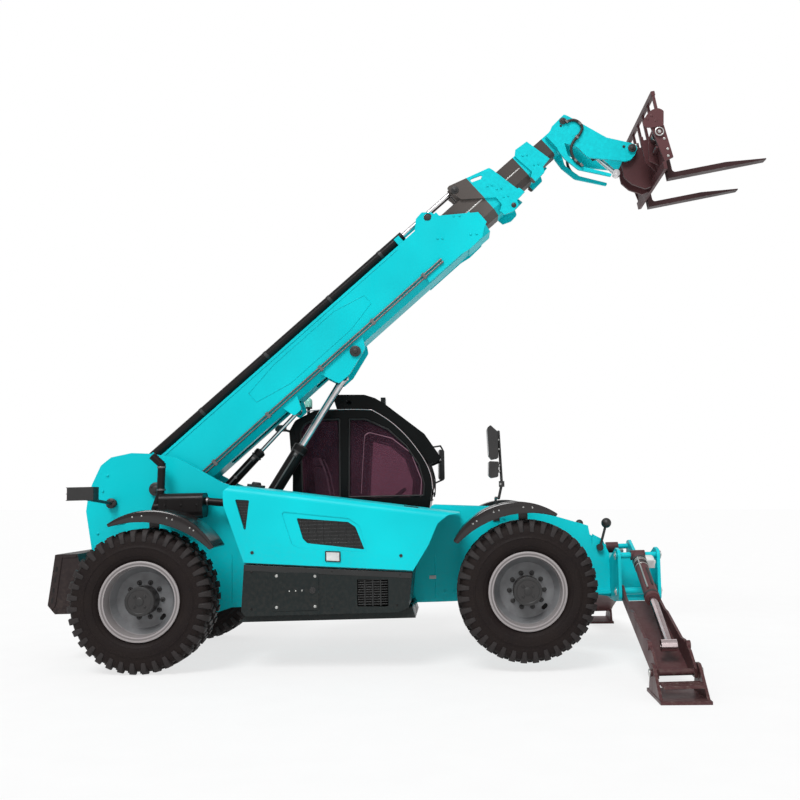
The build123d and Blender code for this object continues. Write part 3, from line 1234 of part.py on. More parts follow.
for name, side in (("right", -1), ("left", 1)):
    lever_run = leg_rod_pin[0] - leg_pivot[0]
    lever_rise = leg_rod_pin[1] - leg_pivot[1]
    eye_along, eye_up = turned(lever_run, lever_rise, -leg_angle)
    cheek_points = [
        leg_point(side, -46, -30), leg_point(side, -46, 40), leg_point(side, 30, 62),
        leg_point(side, 170, 22), leg_point(side, 430, 22), leg_point(side, 540, 45),
        leg_point(side, 1050, 60), leg_point(side, 1150, 92),
        leg_point(side, 1340, 92), leg_point(side, leg_length + 30, 40),
        leg_point(side, leg_length + 40, -30), leg_point(side, 1340, -80),
        leg_point(side, 60, -60),
    ]
    plate_points = [
        leg_point(side, 120, -62), leg_point(side, 120, -42), leg_point(side, 1340, -60),
        leg_point(side, 1340, -80),
    ]
    with BuildPart() as leg:
        for x0 in (leg_x - leg_half, leg_x + leg_half - leg_plate):
            across(CHASSIS, cheek_points, x0, x0 + leg_plate)
        across(CHASSIS, plate_points, leg_x - leg_half, leg_x + leg_half)
        for x0, x1 in ((leg_x - leg_half - 6, leg_x - leg_half + leg_plate),
                       (leg_x + leg_half - leg_plate, leg_x + leg_half + 6)):
            bar(CHASSIS, (x0, side * leg_pivot[0], leg_pivot[1]),
                (x1, side * leg_pivot[0], leg_pivot[1]), 56)
        bar(CHASSIS, (leg_x - leg_half - 10, side * leg_pivot[0], leg_pivot[1]),
            (leg_x + leg_half + 10, side * leg_pivot[0], leg_pivot[1]),
            leg_pin_radius + running_gap, Mode.SUBTRACT)
        for x0, x1 in ((leg_x - leg_half - 12, leg_x - leg_half + leg_plate),
                       (leg_x + leg_half - leg_plate, leg_x + leg_half + 12)):
            bar(CHASSIS, (x0, side * leg_rod_pin[0], leg_rod_pin[1]),
                (x1, side * leg_rod_pin[0], leg_rod_pin[1]), 34)
        bar(CHASSIS, (leg_x - foot_half - 8, side * foot_pin[0], foot_pin[1]),
            (leg_x + foot_half + 8, side * foot_pin[0], foot_pin[1]), leg_pin_radius - 6)
    leg.part.label = f"stabiliser_leg_{name}"
    export_step(leg.part, f"parts/stabiliser_leg_{name}.step")

    with BuildPart() as foot:
        sole_x0 = leg_x - foot_half
        sole_x1 = leg_x + foot_half
        low0 = tyre_radius - (tyre_radius + sole_x0 * math.sin(tilt_back)) / math.cos(tilt_back)
        low1 = tyre_radius - (tyre_radius + sole_x1 * math.sin(tilt_back)) / math.cos(tilt_back)
        slab(CHASSIS, [(sole_x0, low0), (sole_x1, low1), (sole_x1, low1 + 24),
                       (sole_x0, low0 + 24)], *sorted((side * 1925, side * 2440)))
        wedge = [
            (side * 1985, low0 + 10), (side * 2400, low0 + 10), (side * 2180, 120),
            (side * 2150, 138), (side * 2085, 138), (side * 2060, 110),
        ]
        for x0, x1 in ((leg_x - foot_half + 4, leg_x - leg_half - 6),
                       (leg_x + leg_half + 6, leg_x + foot_half - 4)):
            across(CHASSIS, wedge, x0, x1)
        bar(CHASSIS, (leg_x - foot_half - 12, side * foot_pin[0], foot_pin[1]),
            (leg_x + foot_half + 12, side * foot_pin[0], foot_pin[1]),
            leg_pin_radius - 6 + running_gap, Mode.SUBTRACT)
    foot.part.label = f"stabiliser_foot_{name}"
    export_step(foot.part, f"parts/stabiliser_foot_{name}.step")

    # Cylinder between the cheeks, in a frame of its own along the pins
    base_point = CHASSIS.from_local_coords(
        Vector(leg_x, side * leg_cylinder_pin[0], leg_cylinder_pin[1])
    )
    run = leg_rod_pin[0] - leg_cylinder_pin[0]
    rise = leg_rod_pin[1] - leg_cylinder_pin[1]
    reach = math.hypot(run, rise)
    LEG = Plane(
        base_point,
        x_dir=CHASSIS.y_dir * (side * run / reach) + CHASSIS.z_dir * (rise / reach),
        z_dir=CHASSIS.z_dir * (run / reach) - CHASSIS.y_dir * (side * rise / reach),
    )
    with BuildPart() as leg_barrel:
        barrel(LEG, 44, 24, 130, 56, 700, 34, 40)
    leg_barrel.part.label = f"stabiliser_barrel_{name}"
    export_step(leg_barrel.part, f"parts/stabiliser_barrel_{name}.step")
    with BuildPart() as leg_rod:
        piston_rod(LEG, reach, 465, 34, 44, 120, 22)
    leg_rod.part.label = f"stabiliser_rod_{name}"
    export_step(leg_rod.part, f"parts/stabiliser_rod_{name}.step")
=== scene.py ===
import math

import bmesh
import bpy
from mathutils import Matrix, Vector


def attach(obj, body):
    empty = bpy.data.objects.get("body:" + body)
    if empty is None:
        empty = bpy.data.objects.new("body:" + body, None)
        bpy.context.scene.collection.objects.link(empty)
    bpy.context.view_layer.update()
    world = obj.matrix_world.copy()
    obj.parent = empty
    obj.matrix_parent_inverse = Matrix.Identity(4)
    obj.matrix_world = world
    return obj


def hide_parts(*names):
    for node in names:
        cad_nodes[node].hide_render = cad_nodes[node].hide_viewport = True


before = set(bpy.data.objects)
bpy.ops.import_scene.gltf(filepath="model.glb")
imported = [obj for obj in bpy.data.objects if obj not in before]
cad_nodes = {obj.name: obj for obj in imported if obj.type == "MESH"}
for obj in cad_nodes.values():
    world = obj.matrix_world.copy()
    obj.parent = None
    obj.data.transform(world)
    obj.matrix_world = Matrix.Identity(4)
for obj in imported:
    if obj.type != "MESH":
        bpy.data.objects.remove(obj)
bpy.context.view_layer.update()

# Sizes in millimetres, as in the part's source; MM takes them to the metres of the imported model
MM = 0.001
TYRE_RADIUS = 588
WHEELBASE = 3175
OUTER_FACE = 1190  # of the tyres, from the middle plane
TYRE_WIDTH = 405
TYRE_HALF = TYRE_WIDTH / 2
FLANGE_FACE = OUTER_FACE - 25
DISC_FACE = FLANGE_FACE - 179 + 16
NUT_CIRCLE = 147
ORIGIN_X = 2250.48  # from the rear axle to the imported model's zero
STANCE = 1.3  # degrees, nose up
CHASSIS_HALF = 300
BASE_HALF = 190
SECOND_HALF = 184
THIRD_HALF = 152
HEAD_HALF = 160
HOOD_OUTER = -1120
# Mudguard lip, from the axle: its two tips, then x, z and radius of its outer and inner arc
GUARD_ENDS = ((-262, 632), (610, 427))
GUARD_ARC = (82.65, 140.92, 599.95)
GUARD_INNER = (-11.19, -184.55, 829.51)
# Share of the lip's depth and rise over its face
GUARD_SECTION = (
    (0.02, -4), (0.02, 1), (0.06, 4), (0.14, 6.5), (0.3, 8), (0.55, 8), (0.75, 6.5), (0.88, 4),
    (0.96, 0.5), (0.97, -4),
)
CAB_RIGHT = 306
CAB_LEFT = 1150
SEAT_Y = 728
ROD_TAIL = 180
LEG_X = 4172
LEG_HALF = 150
LEG_PIN = (720, 835)
LEG_EYE = (1900, 235)
ACROSS = Vector((0, 1, 0))

# Light levels, at which a colour renders about as it is written
FLOOR_GLOW = 0.72
SKY_LEVEL = 0.46
SUN_LEVEL = 2.3
FILL_LEVEL = 0.35

# Camera of the photograph, in metres and degrees
CAMERA_SPOT = (0.3175, -9.513, 1.471)
CAMERA_TURN = (95.31, 0, -2.0)
CAMERA_LENS = 45
CAMERA_SENSOR = 36
CAMERA_SHIFT = -0.1126


class Side:
    """A side-view frame in millimetres: X along it, Y to the machine's left, Z up from it."""

    def __init__(self, x, z, degrees, parent=None):
        if parent:
            start = parent.at(x, 0, z)
            self.origin, self.angle = start, parent.angle + math.radians(degrees)
        else:
            self.origin, self.angle = Vector((x * MM, 0, z * MM)), math.radians(degrees)
        self.along = Vector((math.cos(self.angle), 0, math.sin(self.angle)))
        self.up = Vector((-math.sin(self.angle), 0, math.cos(self.angle)))

    def at(self, x, y, z):
        return self.origin + self.along * (x * MM) + ACROSS * (y * MM) + self.up * (z * MM)

    def to(self, x, y, z):
        return self.along * x + ACROSS * y + self.up * z


tilt = math.radians(STANCE)
CHASSIS = Side(
    TYRE_RADIUS * math.sin(tilt) - ORIGIN_X, TYRE_RADIUS - TYRE_RADIUS * math.cos(tilt), STANCE
)
BOOM = Side(-76, 1506, 41.3, CHASSIS)
pivot_to_tool = BOOM.at(5434, 0, -536) - CHASSIS.origin
TOOL = Side(
    pivot_to_tool.dot(CHASSIS.along) / MM, pivot_to_tool.dot(CHASSIS.up) / MM, 10.55, CHASSIS
)
ROOF = Side(721, 1517, math.degrees(math.atan2(1243 - 1517, 2624 - 721)), CHASSIS)


class Shade:
    """Builds one node material."""

    def __init__(self, name):
        self.material = bpy.data.materials.new(name)
        self.material.use_nodes = True
        self.tree = self.material.node_tree
        self.tree.nodes.clear()
        self.surface = self.add("ShaderNodeBsdfPrincipled")
        self.output = self.add("ShaderNodeOutputMaterial")
        self.link(self.surface.outputs["BSDF"], self.output.inputs["Surface"])
        self.place = self.add("ShaderNodeTexCoord").outputs["Object"]

    def add(self, kind, **settings):
        node = self.tree.nodes.new(kind)
        for key, value in settings.items():
            setattr(node, key, value)
        return node

    def link(self, source, target):
        self.tree.links.new(source, target)

    def fill(self, socket, value):
        if isinstance(value, bpy.types.NodeSocket):
            self.link(value, socket)
        else:
            socket.default_value = value

    def noise(self, scale, detail=3.0, stretch=None):
        node = self.add("ShaderNodeTexNoise")
        node.inputs["Scale"].default_value = scale
        node.inputs["Detail"].default_value = detail
        place = self.place
        if stretch:
            mapping = self.add("ShaderNodeMapping")
            mapping.inputs["Scale"].default_value = stretch
            self.link(place, mapping.inputs["Vector"])
            place = mapping.outputs["Vector"]
        self.link(place, node.inputs["Vector"])
        return node.outputs["Fac"]

    def math(self, operation, first, second=0.0, clamp=False):
        node = self.add("ShaderNodeMath", operation=operation, use_clamp=clamp)
        self.fill(node.inputs[0], first)
        self.fill(node.inputs[1], second)
        return node.outputs[0]

    def band(self, value, low, high, start=0.0, end=1.0):
        """The value taken from low..high to start..end, clamped."""
        node = self.add("ShaderNodeMapRange")
        self.fill(node.inputs["Value"], value)
        node.inputs["From Min"].default_value = low
        node.inputs["From Max"].default_value = high
        node.inputs["To Min"].default_value = start
        node.inputs["To Max"].default_value = end
        return node.outputs["Result"]

    def mix(self, share, first, second):
        node = self.add("ShaderNodeMix", data_type="RGBA")
        self.fill(node.inputs["Factor"], share)
        self.fill(node.inputs[6], first)
        self.fill(node.inputs[7], second)
        return node.outputs[2]

    def past(self, side, x, width=1.0):
        """0 before and 1 past the distance x in millimetres along a side frame."""
        node = self.add("ShaderNodeVectorMath", operation="DOT_PRODUCT")
        self.link(self.place, node.inputs[0])
        node.inputs[1].default_value = side.along
        start = side.origin.dot(side.along) + x * MM
        return self.band(node.outputs["Value"], start - width * MM, start + width * MM)

    def radius_from(self, centre):
        """Distance in metres from an axle's line through a centre."""
        shift = self.add("ShaderNodeVectorMath", operation="SUBTRACT")
        self.link(self.place, shift.inputs[0])
        shift.inputs[1].default_value = centre
        flat = self.add("ShaderNodeVectorMath", operation="MULTIPLY")
        self.link(shift.outputs[0], flat.inputs[0])
        flat.inputs[1].default_value = (1, 0, 1)
        size = self.add("ShaderNodeVectorMath", operation="LENGTH")
        self.link(flat.outputs[0], size.inputs[0])
        return size.outputs["Value"]

    def depth(self):
        """Distance in metres from the machine's middle plane."""
        split = self.add("ShaderNodeSeparateXYZ")
        self.link(self.place, split.inputs[0])
        return self.math("ABSOLUTE", split.outputs["Y"])

    def height(self):
        split = self.add("ShaderNodeSeparateXYZ")
        self.link(self.place, split.inputs[0])
        return split.outputs["Z"]

    def edge(self, radius):
        """1 along outer edges, from the difference of a rounded and the true normal."""
        rounded = self.add("ShaderNodeBevel", samples=4)
        rounded.inputs["Radius"].default_value = radius
        true = self.add("ShaderNodeNewGeometry").outputs["Normal"]
        dot = self.add("ShaderNodeVectorMath", operation="DOT_PRODUCT")
        self.link(rounded.outputs["Normal"], dot.inputs[0])
        self.link(true, dot.inputs[1])
        return self.band(dot.outputs["Value"], 0.995, 0.9)

    def relief(self, height, distance, rounding=0.0):
        bump = self.add("ShaderNodeBump")
        bump.inputs["Distance"].default_value = distance
        bump.inputs["Strength"].default_value = 1.0
        self.link(height, bump.inputs["Height"])
        if rounding:
            rounded = self.add("ShaderNodeBevel", samples=4)
            rounded.inputs["Radius"].default_value = rounding
            self.link(rounded.outputs["Normal"], bump.inputs["Normal"])
        self.link(bump.outputs["Normal"], self.surface.inputs["Normal"])

    def finish(self, colour, roughness, **constants):
        self.fill(self.surface.inputs["Base Color"], colour)
        self.fill(self.surface.inputs["Roughness"], roughness)
        for name, value in constants.items():
            self.surface.inputs[name.replace("_", " ")].default_value = value
        return self.material


def rgba(red, green, blue):
    return (red, green, blue, 1.0)


DUST = rgba(0.16, 0.12, 0.10)
TEAL = rgba(0.0, 0.60, 0.66)
TEAL_DEEP = rgba(0.0, 0.50, 0.56)
TUBE_GREY = rgba(0.105, 0.092, 0.085)
TUBE_DARK = rgba(0.06, 0.05, 0.046)


def painted(name, colour, deep, rough=0.34, dust=0.25, chip_and_highlight=rgba(0.03, 0.035, 0.035), wear_and_highlight=0.35,
            peel=0.00012, rounding=0.004, specular=0.15, zone=None):
    """Sprayed paint: slow variation, dust low down, worn edges in the chip colour, which on the
    dark paints is light and also paints the edges' highlights, and a fine orange peel.
    A zone is a function of the shade that gives a mask and the two colours past it."""
    shade = Shade(name)
    slow = shade.noise(1.1, 2.0)
    fine = shade.noise(34.0, 6.0)
    body = shade.mix(shade.band(slow, 0.35, 0.65), colour, deep)
    if zone:
        mask, other, other_deep = zone(shade)
        body = shade.mix(mask, body, shade.mix(shade.band(fine, 0.3, 0.7), other, other_deep))
    low = shade.band(shade.height(), 1.3, 0.35)
    dusty = shade.math("MULTIPLY", shade.band(fine, 0.42, 0.75), shade.band(slow, 0.3, 0.7))
    film = shade.math("MULTIPLY", shade.math("MULTIPLY", dusty, low), dust)
    body = shade.mix(film, body, DUST)
    # Edges mixed to the chip colour: wear, and where that colour is light also a painted edge
    # highlight
    worn_and_lit_edge = shade.math("MULTIPLY", shade.edge(rounding * 0.8), shade.band(fine, 0.5, 0.62))
    body = shade.mix(shade.math("MULTIPLY", worn_and_lit_edge, wear_and_highlight), body, chip_and_highlight)
    streak = shade.noise(5.0, 4.0, (1.0, 1.0, 0.25))
    roughness = shade.band(streak, 0.3, 0.7, rough - 0.05, rough + 0.1)
    shade.relief(shade.noise(420.0, 2.0), peel, rounding)
    return shade.finish(body, roughness, Specular_IOR_Level=specular)


def boom_zone(*starts):
    """Teal past each pair of distances along the boom, grey between them."""
    def mask(shade):
        total = 0.0
        for start, end in starts:
            inside = shade.math("SUBTRACT", shade.past(BOOM, start), shade.past(BOOM, end))
            total = inside if total == 0.0 else shade.math("ADD", total, inside, True)
        return total, TEAL, TEAL_DEEP
    return mask


def bare_metal(name, colour, rough, streaks=60.0, metallic=1.0):
    """Brushed metal with fogged patches."""
    shade = Shade(name)
    brushed = shade.noise(streaks, 5.0, (1.0, 12.0, 1.0))
    fog = shade.noise(7.0, 3.0)
    tone = shade.mix(shade.band(fog, 0.3, 0.7), colour,
                     tuple(part * 0.72 for part in colour[:3]) + (1.0,))
    shade.relief(brushed, 0.00006, 0.002)
    roughness = shade.band(brushed, 0.3, 0.7, rough - 0.05, rough + 0.08)
    return shade.finish(tone, roughness, Metallic=metallic)


def rubber(name, dark, pale, specular):
    """Blotched rubber with dust in its grain."""
    shade = Shade(name)
    blotch = shade.noise(6.0, 4.0)
    grit = shade.noise(160.0, 5.0)
    base = shade.mix(shade.band(blotch, 0.3, 0.7), dark, pale)
    dusty = shade.math("MULTIPLY", shade.band(grit, 0.5, 0.8), 0.18)
    base = shade.mix(dusty, base, rgba(0.10, 0.07, 0.065))
    shade.relief(shade.noise(260.0, 6.0), 0.0005, 0.003)
    return shade.finish(base, shade.band(blotch, 0.3, 0.7, 0.55, 0.75),
                        Specular_IOR_Level=specular)


def plastic(name, colour, rough=0.45, grain=0.00018):
    """Grained plastic with specks of dust."""
    shade = Shade(name)
    mottle = shade.noise(9.0, 3.0)
    deep = tuple(part * 0.6 for part in colour[:3]) + (1.0,)
    tone = shade.mix(shade.band(mottle, 0.3, 0.7), colour, deep)
    speck = shade.math("MULTIPLY", shade.band(shade.noise(300.0, 2.0), 0.66, 0.74), 0.3)
    tone = shade.mix(speck, tone, DUST)
    shade.relief(shade.noise(700.0, 2.0), grain, 0.003)
    return shade.finish(tone, shade.band(mottle, 0.3, 0.7, rough - 0.06, rough + 0.1))


def glass():
    """Tinted pane: clear enough to show the seat, with a faint dust film."""
    shade = Shade("tinted_glass")
    film = shade.noise(3.0, 5.0)
    shade.relief(shade.noise(2.0, 1.0), 0.0004)
    tone = shade.mix(shade.band(film, 0.3, 0.75), rgba(0.30, 0.13, 0.20), rgba(0.22, 0.10, 0.15))
    shade.finish(tone, shade.band(film, 0.4, 0.8, 0.02, 0.12), IOR=1.3, Alpha=1.0)
    see = shade.add("ShaderNodeBsdfTransparent")
    ray = shade.add("ShaderNodeLightPath")
    lit = shade.math("MAXIMUM", ray.outputs["Is Shadow Ray"], ray.outputs["Is Diffuse Ray"])
    shade.link(shade.mix(lit, rgba(0.56, 0.43, 0.48), rgba(0.97, 0.95, 0.96)), see.inputs["Color"])
    blend = shade.add("ShaderNodeMixShader")
    facing = shade.add("ShaderNodeLayerWeight")
    facing.inputs["Blend"].default_value = 0.25
    shade.link(shade.band(facing.outputs["Fresnel"], 0.0, 1.0, 0.1, 0.7), blend.inputs["Fac"])
    shade.link(see.outputs["BSDF"], blend.inputs[1])
    shade.link(shade.surface.outputs["BSDF"], blend.inputs[2])
    shade.link(blend.outputs["Shader"], shade.output.inputs["Surface"])
    return shade.material


def cloth():
    """Woven seat cover."""
    shade = Shade("seat_cloth")
    weave = shade.add("ShaderNodeTexWave", bands_direction="DIAGONAL")
    weave.inputs["Scale"].default_value = 320.0
    weave.inputs["Distortion"].default_value = 1.5
    shade.link(shade.place, weave.inputs["Vector"])
    mottle = shade.noise(20.0, 3.0)
    tone = shade.mix(shade.band(mottle, 0.3, 0.7), rgba(0.15, 0.14, 0.15),
                     rgba(0.10, 0.09, 0.10))
    tone = shade.mix(shade.math("MULTIPLY", weave.outputs["Fac"], 0.3), tone,
                     rgba(0.09, 0.085, 0.09))
    shade.relief(weave.outputs["Fac"], 0.0006)
    return shade.finish(tone, 0.85, Sheen_Weight=0.3)


def lens(name, colour):
    """Ribbed lens of a lamp."""
    shade = Shade(name)
    ribs = shade.add("ShaderNodeTexWave", bands_direction="Z")
    ribs.inputs["Scale"].default_value = 60.0
    shade.link(shade.place, ribs.inputs["Vector"])
    haze = shade.noise(12.0, 3.0)
    deep = tuple(part * 0.6 for part in colour[:3]) + (1.0,)
    tone = shade.mix(shade.band(haze, 0.3, 0.7), colour, deep)
    shade.relief(ribs.outputs["Fac"], 0.0008)
    return shade.finish(tone, shade.band(haze, 0.3, 0.7, 0.05, 0.18), Coat_Weight=0.5)


def rim_paint(name, centre):
    """Grey wheel with a flange band painted lighter as painted light and a groove band painted
    darker as painted shade, and a black hub and nuts.
    """
    shade = Shade("rim_" + name)
    far = shade.radius_from(centre)
    stains = shade.noise(11.0, 5.0)
    grey = shade.mix(shade.band(stains, 0.3, 0.7), rgba(0.16, 0.165, 0.17),
                     rgba(0.115, 0.115, 0.12))
    # Painted light on the flange and painted shade in the groove, as bands by radius
    flange = shade.band(far, 0.272, 0.284)
    grey = shade.mix(flange, grey, rgba(0.30, 0.275, 0.275))
    groove_shade = shade.math("MULTIPLY", shade.band(far, 0.296, 0.300), shade.band(far, 0.314, 0.310))
    grey = shade.mix(groove_shade, grey, rgba(0.15, 0.135, 0.135))
    disc_face = (DISC_FACE + 1.2) * MM
    nuts = shade.math("MULTIPLY", shade.band(far, 0.172, 0.17),
                      shade.band(shade.depth(), disc_face, disc_face + 0.0004))
    black = shade.math("MAXIMUM", nuts, shade.band(far, 0.1215, 0.1205))
    rust = shade.math("MULTIPLY", shade.band(shade.noise(60.0, 6.0), 0.6, 0.7), 0.25)
    tone = shade.mix(rust, grey, rgba(0.10, 0.05, 0.045))
    tone = shade.mix(black, tone, rgba(0.02, 0.018, 0.018))
    shade.relief(shade.noise(300.0, 3.0), 0.0002, 0.004)
    return shade.finish(tone, shade.band(stains, 0.3, 0.7, 0.32, 0.5), Specular_IOR_Level=0.5)


teal_paint = painted("teal_paint", TEAL, TEAL_DEEP)
# On these dark paints the light chip colour paints edge highlights as well as wear
black_paint = painted("black_paint", rgba(0.008, 0.007, 0.007), rgba(0.012, 0.010, 0.010),
                      0.32, 0.3, rgba(0.12, 0.11, 0.11), 0.4, specular=0.16)
cab_paint = painted("cab_paint", rgba(0.002, 0.003, 0.003), rgba(0.004, 0.005, 0.005), 0.22, 0.1,
                    rgba(0.10, 0.10, 0.10), 0.3, specular=0.14)
tray_paint = painted("tray_paint", rgba(0.016, 0.021, 0.021), rgba(0.012, 0.016, 0.016), 0.26,
                     0.15, rgba(0.10, 0.10, 0.10), 0.3)
weight_paint = painted("weight_paint", rgba(0.030, 0.022, 0.022), rgba(0.020, 0.014, 0.014), 0.4,
                       0.6, rgba(0.12, 0.07, 0.07), 0.5)
guard_paint = painted("guard_paint", rgba(0.013, 0.009, 0.009), rgba(0.009, 0.007, 0.007), 0.13,
                      0.2, rgba(0.08, 0.06, 0.06), 0.2, specular=0.5)
brown_paint = painted("brown_paint", rgba(0.105, 0.043, 0.046), rgba(0.070, 0.029, 0.031), 0.38,
                      0.4, rgba(0.30, 0.24, 0.23), 0.8)
fork_steel = painted("fork_steel", rgba(0.050, 0.022, 0.023), rgba(0.030, 0.014, 0.015), 0.36,
                     0.3, rgba(0.42, 0.34, 0.34), 1.0)
axle_iron = painted("axle_iron", rgba(0.025, 0.023, 0.023), rgba(0.016, 0.014, 0.014), 0.5, 0.8,
                    rgba(0.10, 0.07, 0.06), 0.6, 0.0004)
inner_paint = painted("inner_paint", TUBE_GREY, TUBE_DARK, 0.42, 0.2, rgba(0.2, 0.18, 0.17), 0.5)
second_paint = painted("second_paint", TUBE_GREY, TUBE_DARK, 0.42, 0.2, rgba(0.2, 0.18, 0.17),
                       0.4, zone=boom_zone((4040, 4400)))
third_paint = painted("third_paint", TUBE_GREY, TUBE_DARK, 0.42, 0.2, rgba(0.2, 0.18, 0.17), 0.4,
                      zone=boom_zone((4520, 4800)))
fourth_paint = painted("fourth_paint", TUBE_GREY, TUBE_DARK, 0.42, 0.2, rgba(0.2, 0.18, 0.17),
                       0.4, zone=boom_zone((4860, 5700)))
chrome = bare_metal("chrome", rgba(0.75, 0.73, 0.74), 0.14)
rosy_chrome = bare_metal("rosy_chrome", rgba(0.80, 0.66, 0.67), 0.2)
zinc = bare_metal("zinc", rgba(0.62, 0.62, 0.60), 0.32)
pipe_steel = bare_metal("pipe_steel", rgba(0.22, 0.21, 0.21), 0.38)
tyre_rubber = rubber("tyre_rubber", rgba(0.008, 0.005, 0.005), rgba(0.013, 0.009, 0.008), 0.14)
tread_rubber = rubber("tread_rubber", rgba(0.014, 0.011, 0.011), rgba(0.024, 0.020, 0.020), 0.3)
hose_rubber = plastic("hose_rubber", rgba(0.016, 0.015, 0.015), 0.5)
black_plastic = plastic("black_plastic", rgba(0.020, 0.019, 0.019))
trim_plastic = plastic("trim_plastic", rgba(0.012, 0.013, 0.013), 0.3)
# Flat black as painted shade inside slots, seams and open pipe ends
opening_shade_black = plastic("opening_shade_black", rgba(0.004, 0.004, 0.004), 0.8)
tinted_glass = glass()
seat_cloth = cloth()
mirror_face = bare_metal("mirror_face", rgba(0.8, 0.82, 0.83), 0.06)
clear_lens = lens("clear_lens", rgba(0.75, 0.78, 0.78))
mint_lens = lens("mint_lens", rgba(0.35, 0.80, 0.66))
red_lens = lens("red_lens", rgba(0.45, 0.02, 0.02))
plate_white = plastic("plate_white", rgba(0.72, 0.74, 0.73), 0.35)

NODE_FINISH = {
    "chassis_frame": teal_paint, "hood": teal_paint, "boom_base": teal_paint,
    "counterweight": weight_paint, "rear_axle": axle_iron, "front_axle": axle_iron,
    "side_tray": tray_paint, "engine_block": axle_iron, "exhaust": black_paint,
    "cab_shell": cab_paint, "cab_glass": tinted_glass, "roof_guard": cab_paint,
    "seat": black_plastic, "console": black_plastic, "rear_lamps": black_plastic,
    "door": cab_paint, "door_glass": tinted_glass, "hood_trim": trim_plastic,
    "front_lamps": black_plastic, "mirrors": black_plastic, "cab_lamps": black_plastic,
    "boom_pipes": pipe_steel, "second_lines": hose_rubber, "extension_barrel": black_paint,
    "extension_rod": chrome, "boom_second": second_paint, "boom_third": third_paint,
    "boom_fourth": fourth_paint, "lift_barrel": black_paint, "lift_rod": chrome,
    "level_barrel": black_paint, "level_rod": chrome, "tilt_barrel": black_paint,
    "tilt_rod": chrome, "carriage": brown_paint, "backrest": brown_paint,
    "fork_right": fork_steel, "fork_left": fork_steel,
}
PREFIX_FINISH = {
    "tyre_": tyre_rubber, "knuckle_": guard_paint, "stabiliser_rod_": rosy_chrome,
    "stabiliser_": brown_paint,
}
WHEELS = {
    "rear_right": (0, -1), "rear_left": (0, 1),
    "front_right": (WHEELBASE, -1), "front_left": (WHEELBASE, 1),
}


def finish_of(name):
    """Material of a CAD node."""
    if name in NODE_FINISH:
        return NODE_FINISH[name]
    for prefix, material in PREFIX_FINISH.items():
        if name.startswith(prefix):
            return material
    wheel = name.removeprefix("wheel_")
    return rim_paint(wheel, CHASSIS.at(WHEELS[wheel][0], 0, TYRE_RADIUS))


def dress_nodes():
    for name, node in cad_nodes.items():
        node.data.materials.clear()
        node.data.materials.append(finish_of(name))


class Piece:
    """One mesh piece that is built up from simple closed forms."""

    def __init__(self, name, body, material, slot):
        self.name, self.body, self.material, self.slot = name, body, material, slot
        self.mesh = bmesh.new()

    def loft(self, rings, close=True, caps=True):
        """Skin over rings of equally many points."""
        rows = [[self.mesh.verts.new(point) for point in ring] for ring in rings]
        count = len(rows[0])
        pairs = list(zip(rows, rows[1:]))
        if not caps and close:
            pairs.append((rows[-1], rows[0]))
        for first, second in pairs:
            for index in range(count):
                after = (index + 1) % count
                self.mesh.faces.new((first[index], first[after], second[after], second[index]))
        if caps:
            self.mesh.faces.new(list(reversed(rows[0])))
            self.mesh.faces.new(rows[-1])
        return self

    def slab(self, side, outline, y0, y1):
        low, high = sorted((y0, y1))
        return self.loft([[side.at(x, y, z) for x, z in outline] for y in (low, high)])

    def box(self, side, x0, x1, y0, y1, z0, z1):
        return self.slab(side, [(x0, z0), (x1, z0), (x1, z1), (x0, z1)], y0, y1)

    def across(self, side, outline, x0, x1):
        """Plate whose outline is (y, z), from x0 to x1."""
        return self.loft([[side.at(x, y, z) for y, z in outline] for x in (x0, x1)])

    def lathe(self, start, axis, profile, segments=32, hollow=False):
        """Turned form: the profile holds (distance along the axis, radius) in millimetres.
        A hollow one closes on itself and leaves the middle open."""
        axis = axis.normalized()
        first = axis.orthogonal().normalized()
        second = axis.cross(first)
        rings = []
        for along, radius in profile:
            ring = []
            for index in range(segments):
                turn = 2 * math.pi * index / segments
                out = first * math.cos(turn) + second * math.sin(turn)
                ring.append(start + axis * (along * MM) + out * (max(radius, 0.05) * MM))
            rings.append(ring)
        return self.loft(rings, caps=not hollow)

    def tube(self, points, radius, segments=12, steps=8):
        """Round tube along a smooth line through the points."""
        path = smooth_path(points, steps)
        rings = []
        normal = (path[1] - path[0]).orthogonal().normalized()
        for index, point in enumerate(path):
            before = path[max(index - 1, 0)]
            after = path[min(index + 1, len(path) - 1)]
            heading = (after - before).normalized()
            normal = (normal - heading * normal.dot(heading)).normalized()
            other = heading.cross(normal)
            ring = []
            for step in range(segments):
                turn = 2 * math.pi * step / segments
                out = normal * math.cos(turn) + other * math.sin(turn)
                ring.append(point + out * (radius * MM))
            rings.append(ring)
        return self.loft(rings)

    def bolt(self, spot, axis, radius=11, height=9):
        """Hexagon head on a washer."""
        self.lathe(spot, axis, [(-2, radius * 1.35), (2.2, radius * 1.35)], 20)
        self.lathe(spot + axis.normalized() * (2 * MM), axis,
                   [(0, radius), (height * 0.8, radius), (height, radius * 0.86)], 6)
        return self

    def done(self, rounding=0.0, smooth=40, replaces=()):
        bmesh.ops.recalc_face_normals(self.mesh, faces=self.mesh.faces)
        data = bpy.data.meshes.new(self.name)
        self.mesh.to_mesh(data)
        self.mesh.free()
        piece = bpy.data.objects.new(self.name, data)
        bpy.context.scene.collection.objects.link(piece)
        data.materials.append(self.material)
        data.polygons.foreach_set("use_smooth", [True] * len(data.polygons))
        data.set_sharp_from_angle(angle=math.radians(smooth))
        if rounding:
            bevel = piece.modifiers.new("rounding", "BEVEL")
            bevel.width = rounding * MM
            bevel.segments = 2
            bevel.limit_method = "ANGLE"
            bevel.angle_limit = math.radians(35)
        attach(piece, self.body)
        if replaces:
            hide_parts(*replaces)
        return piece


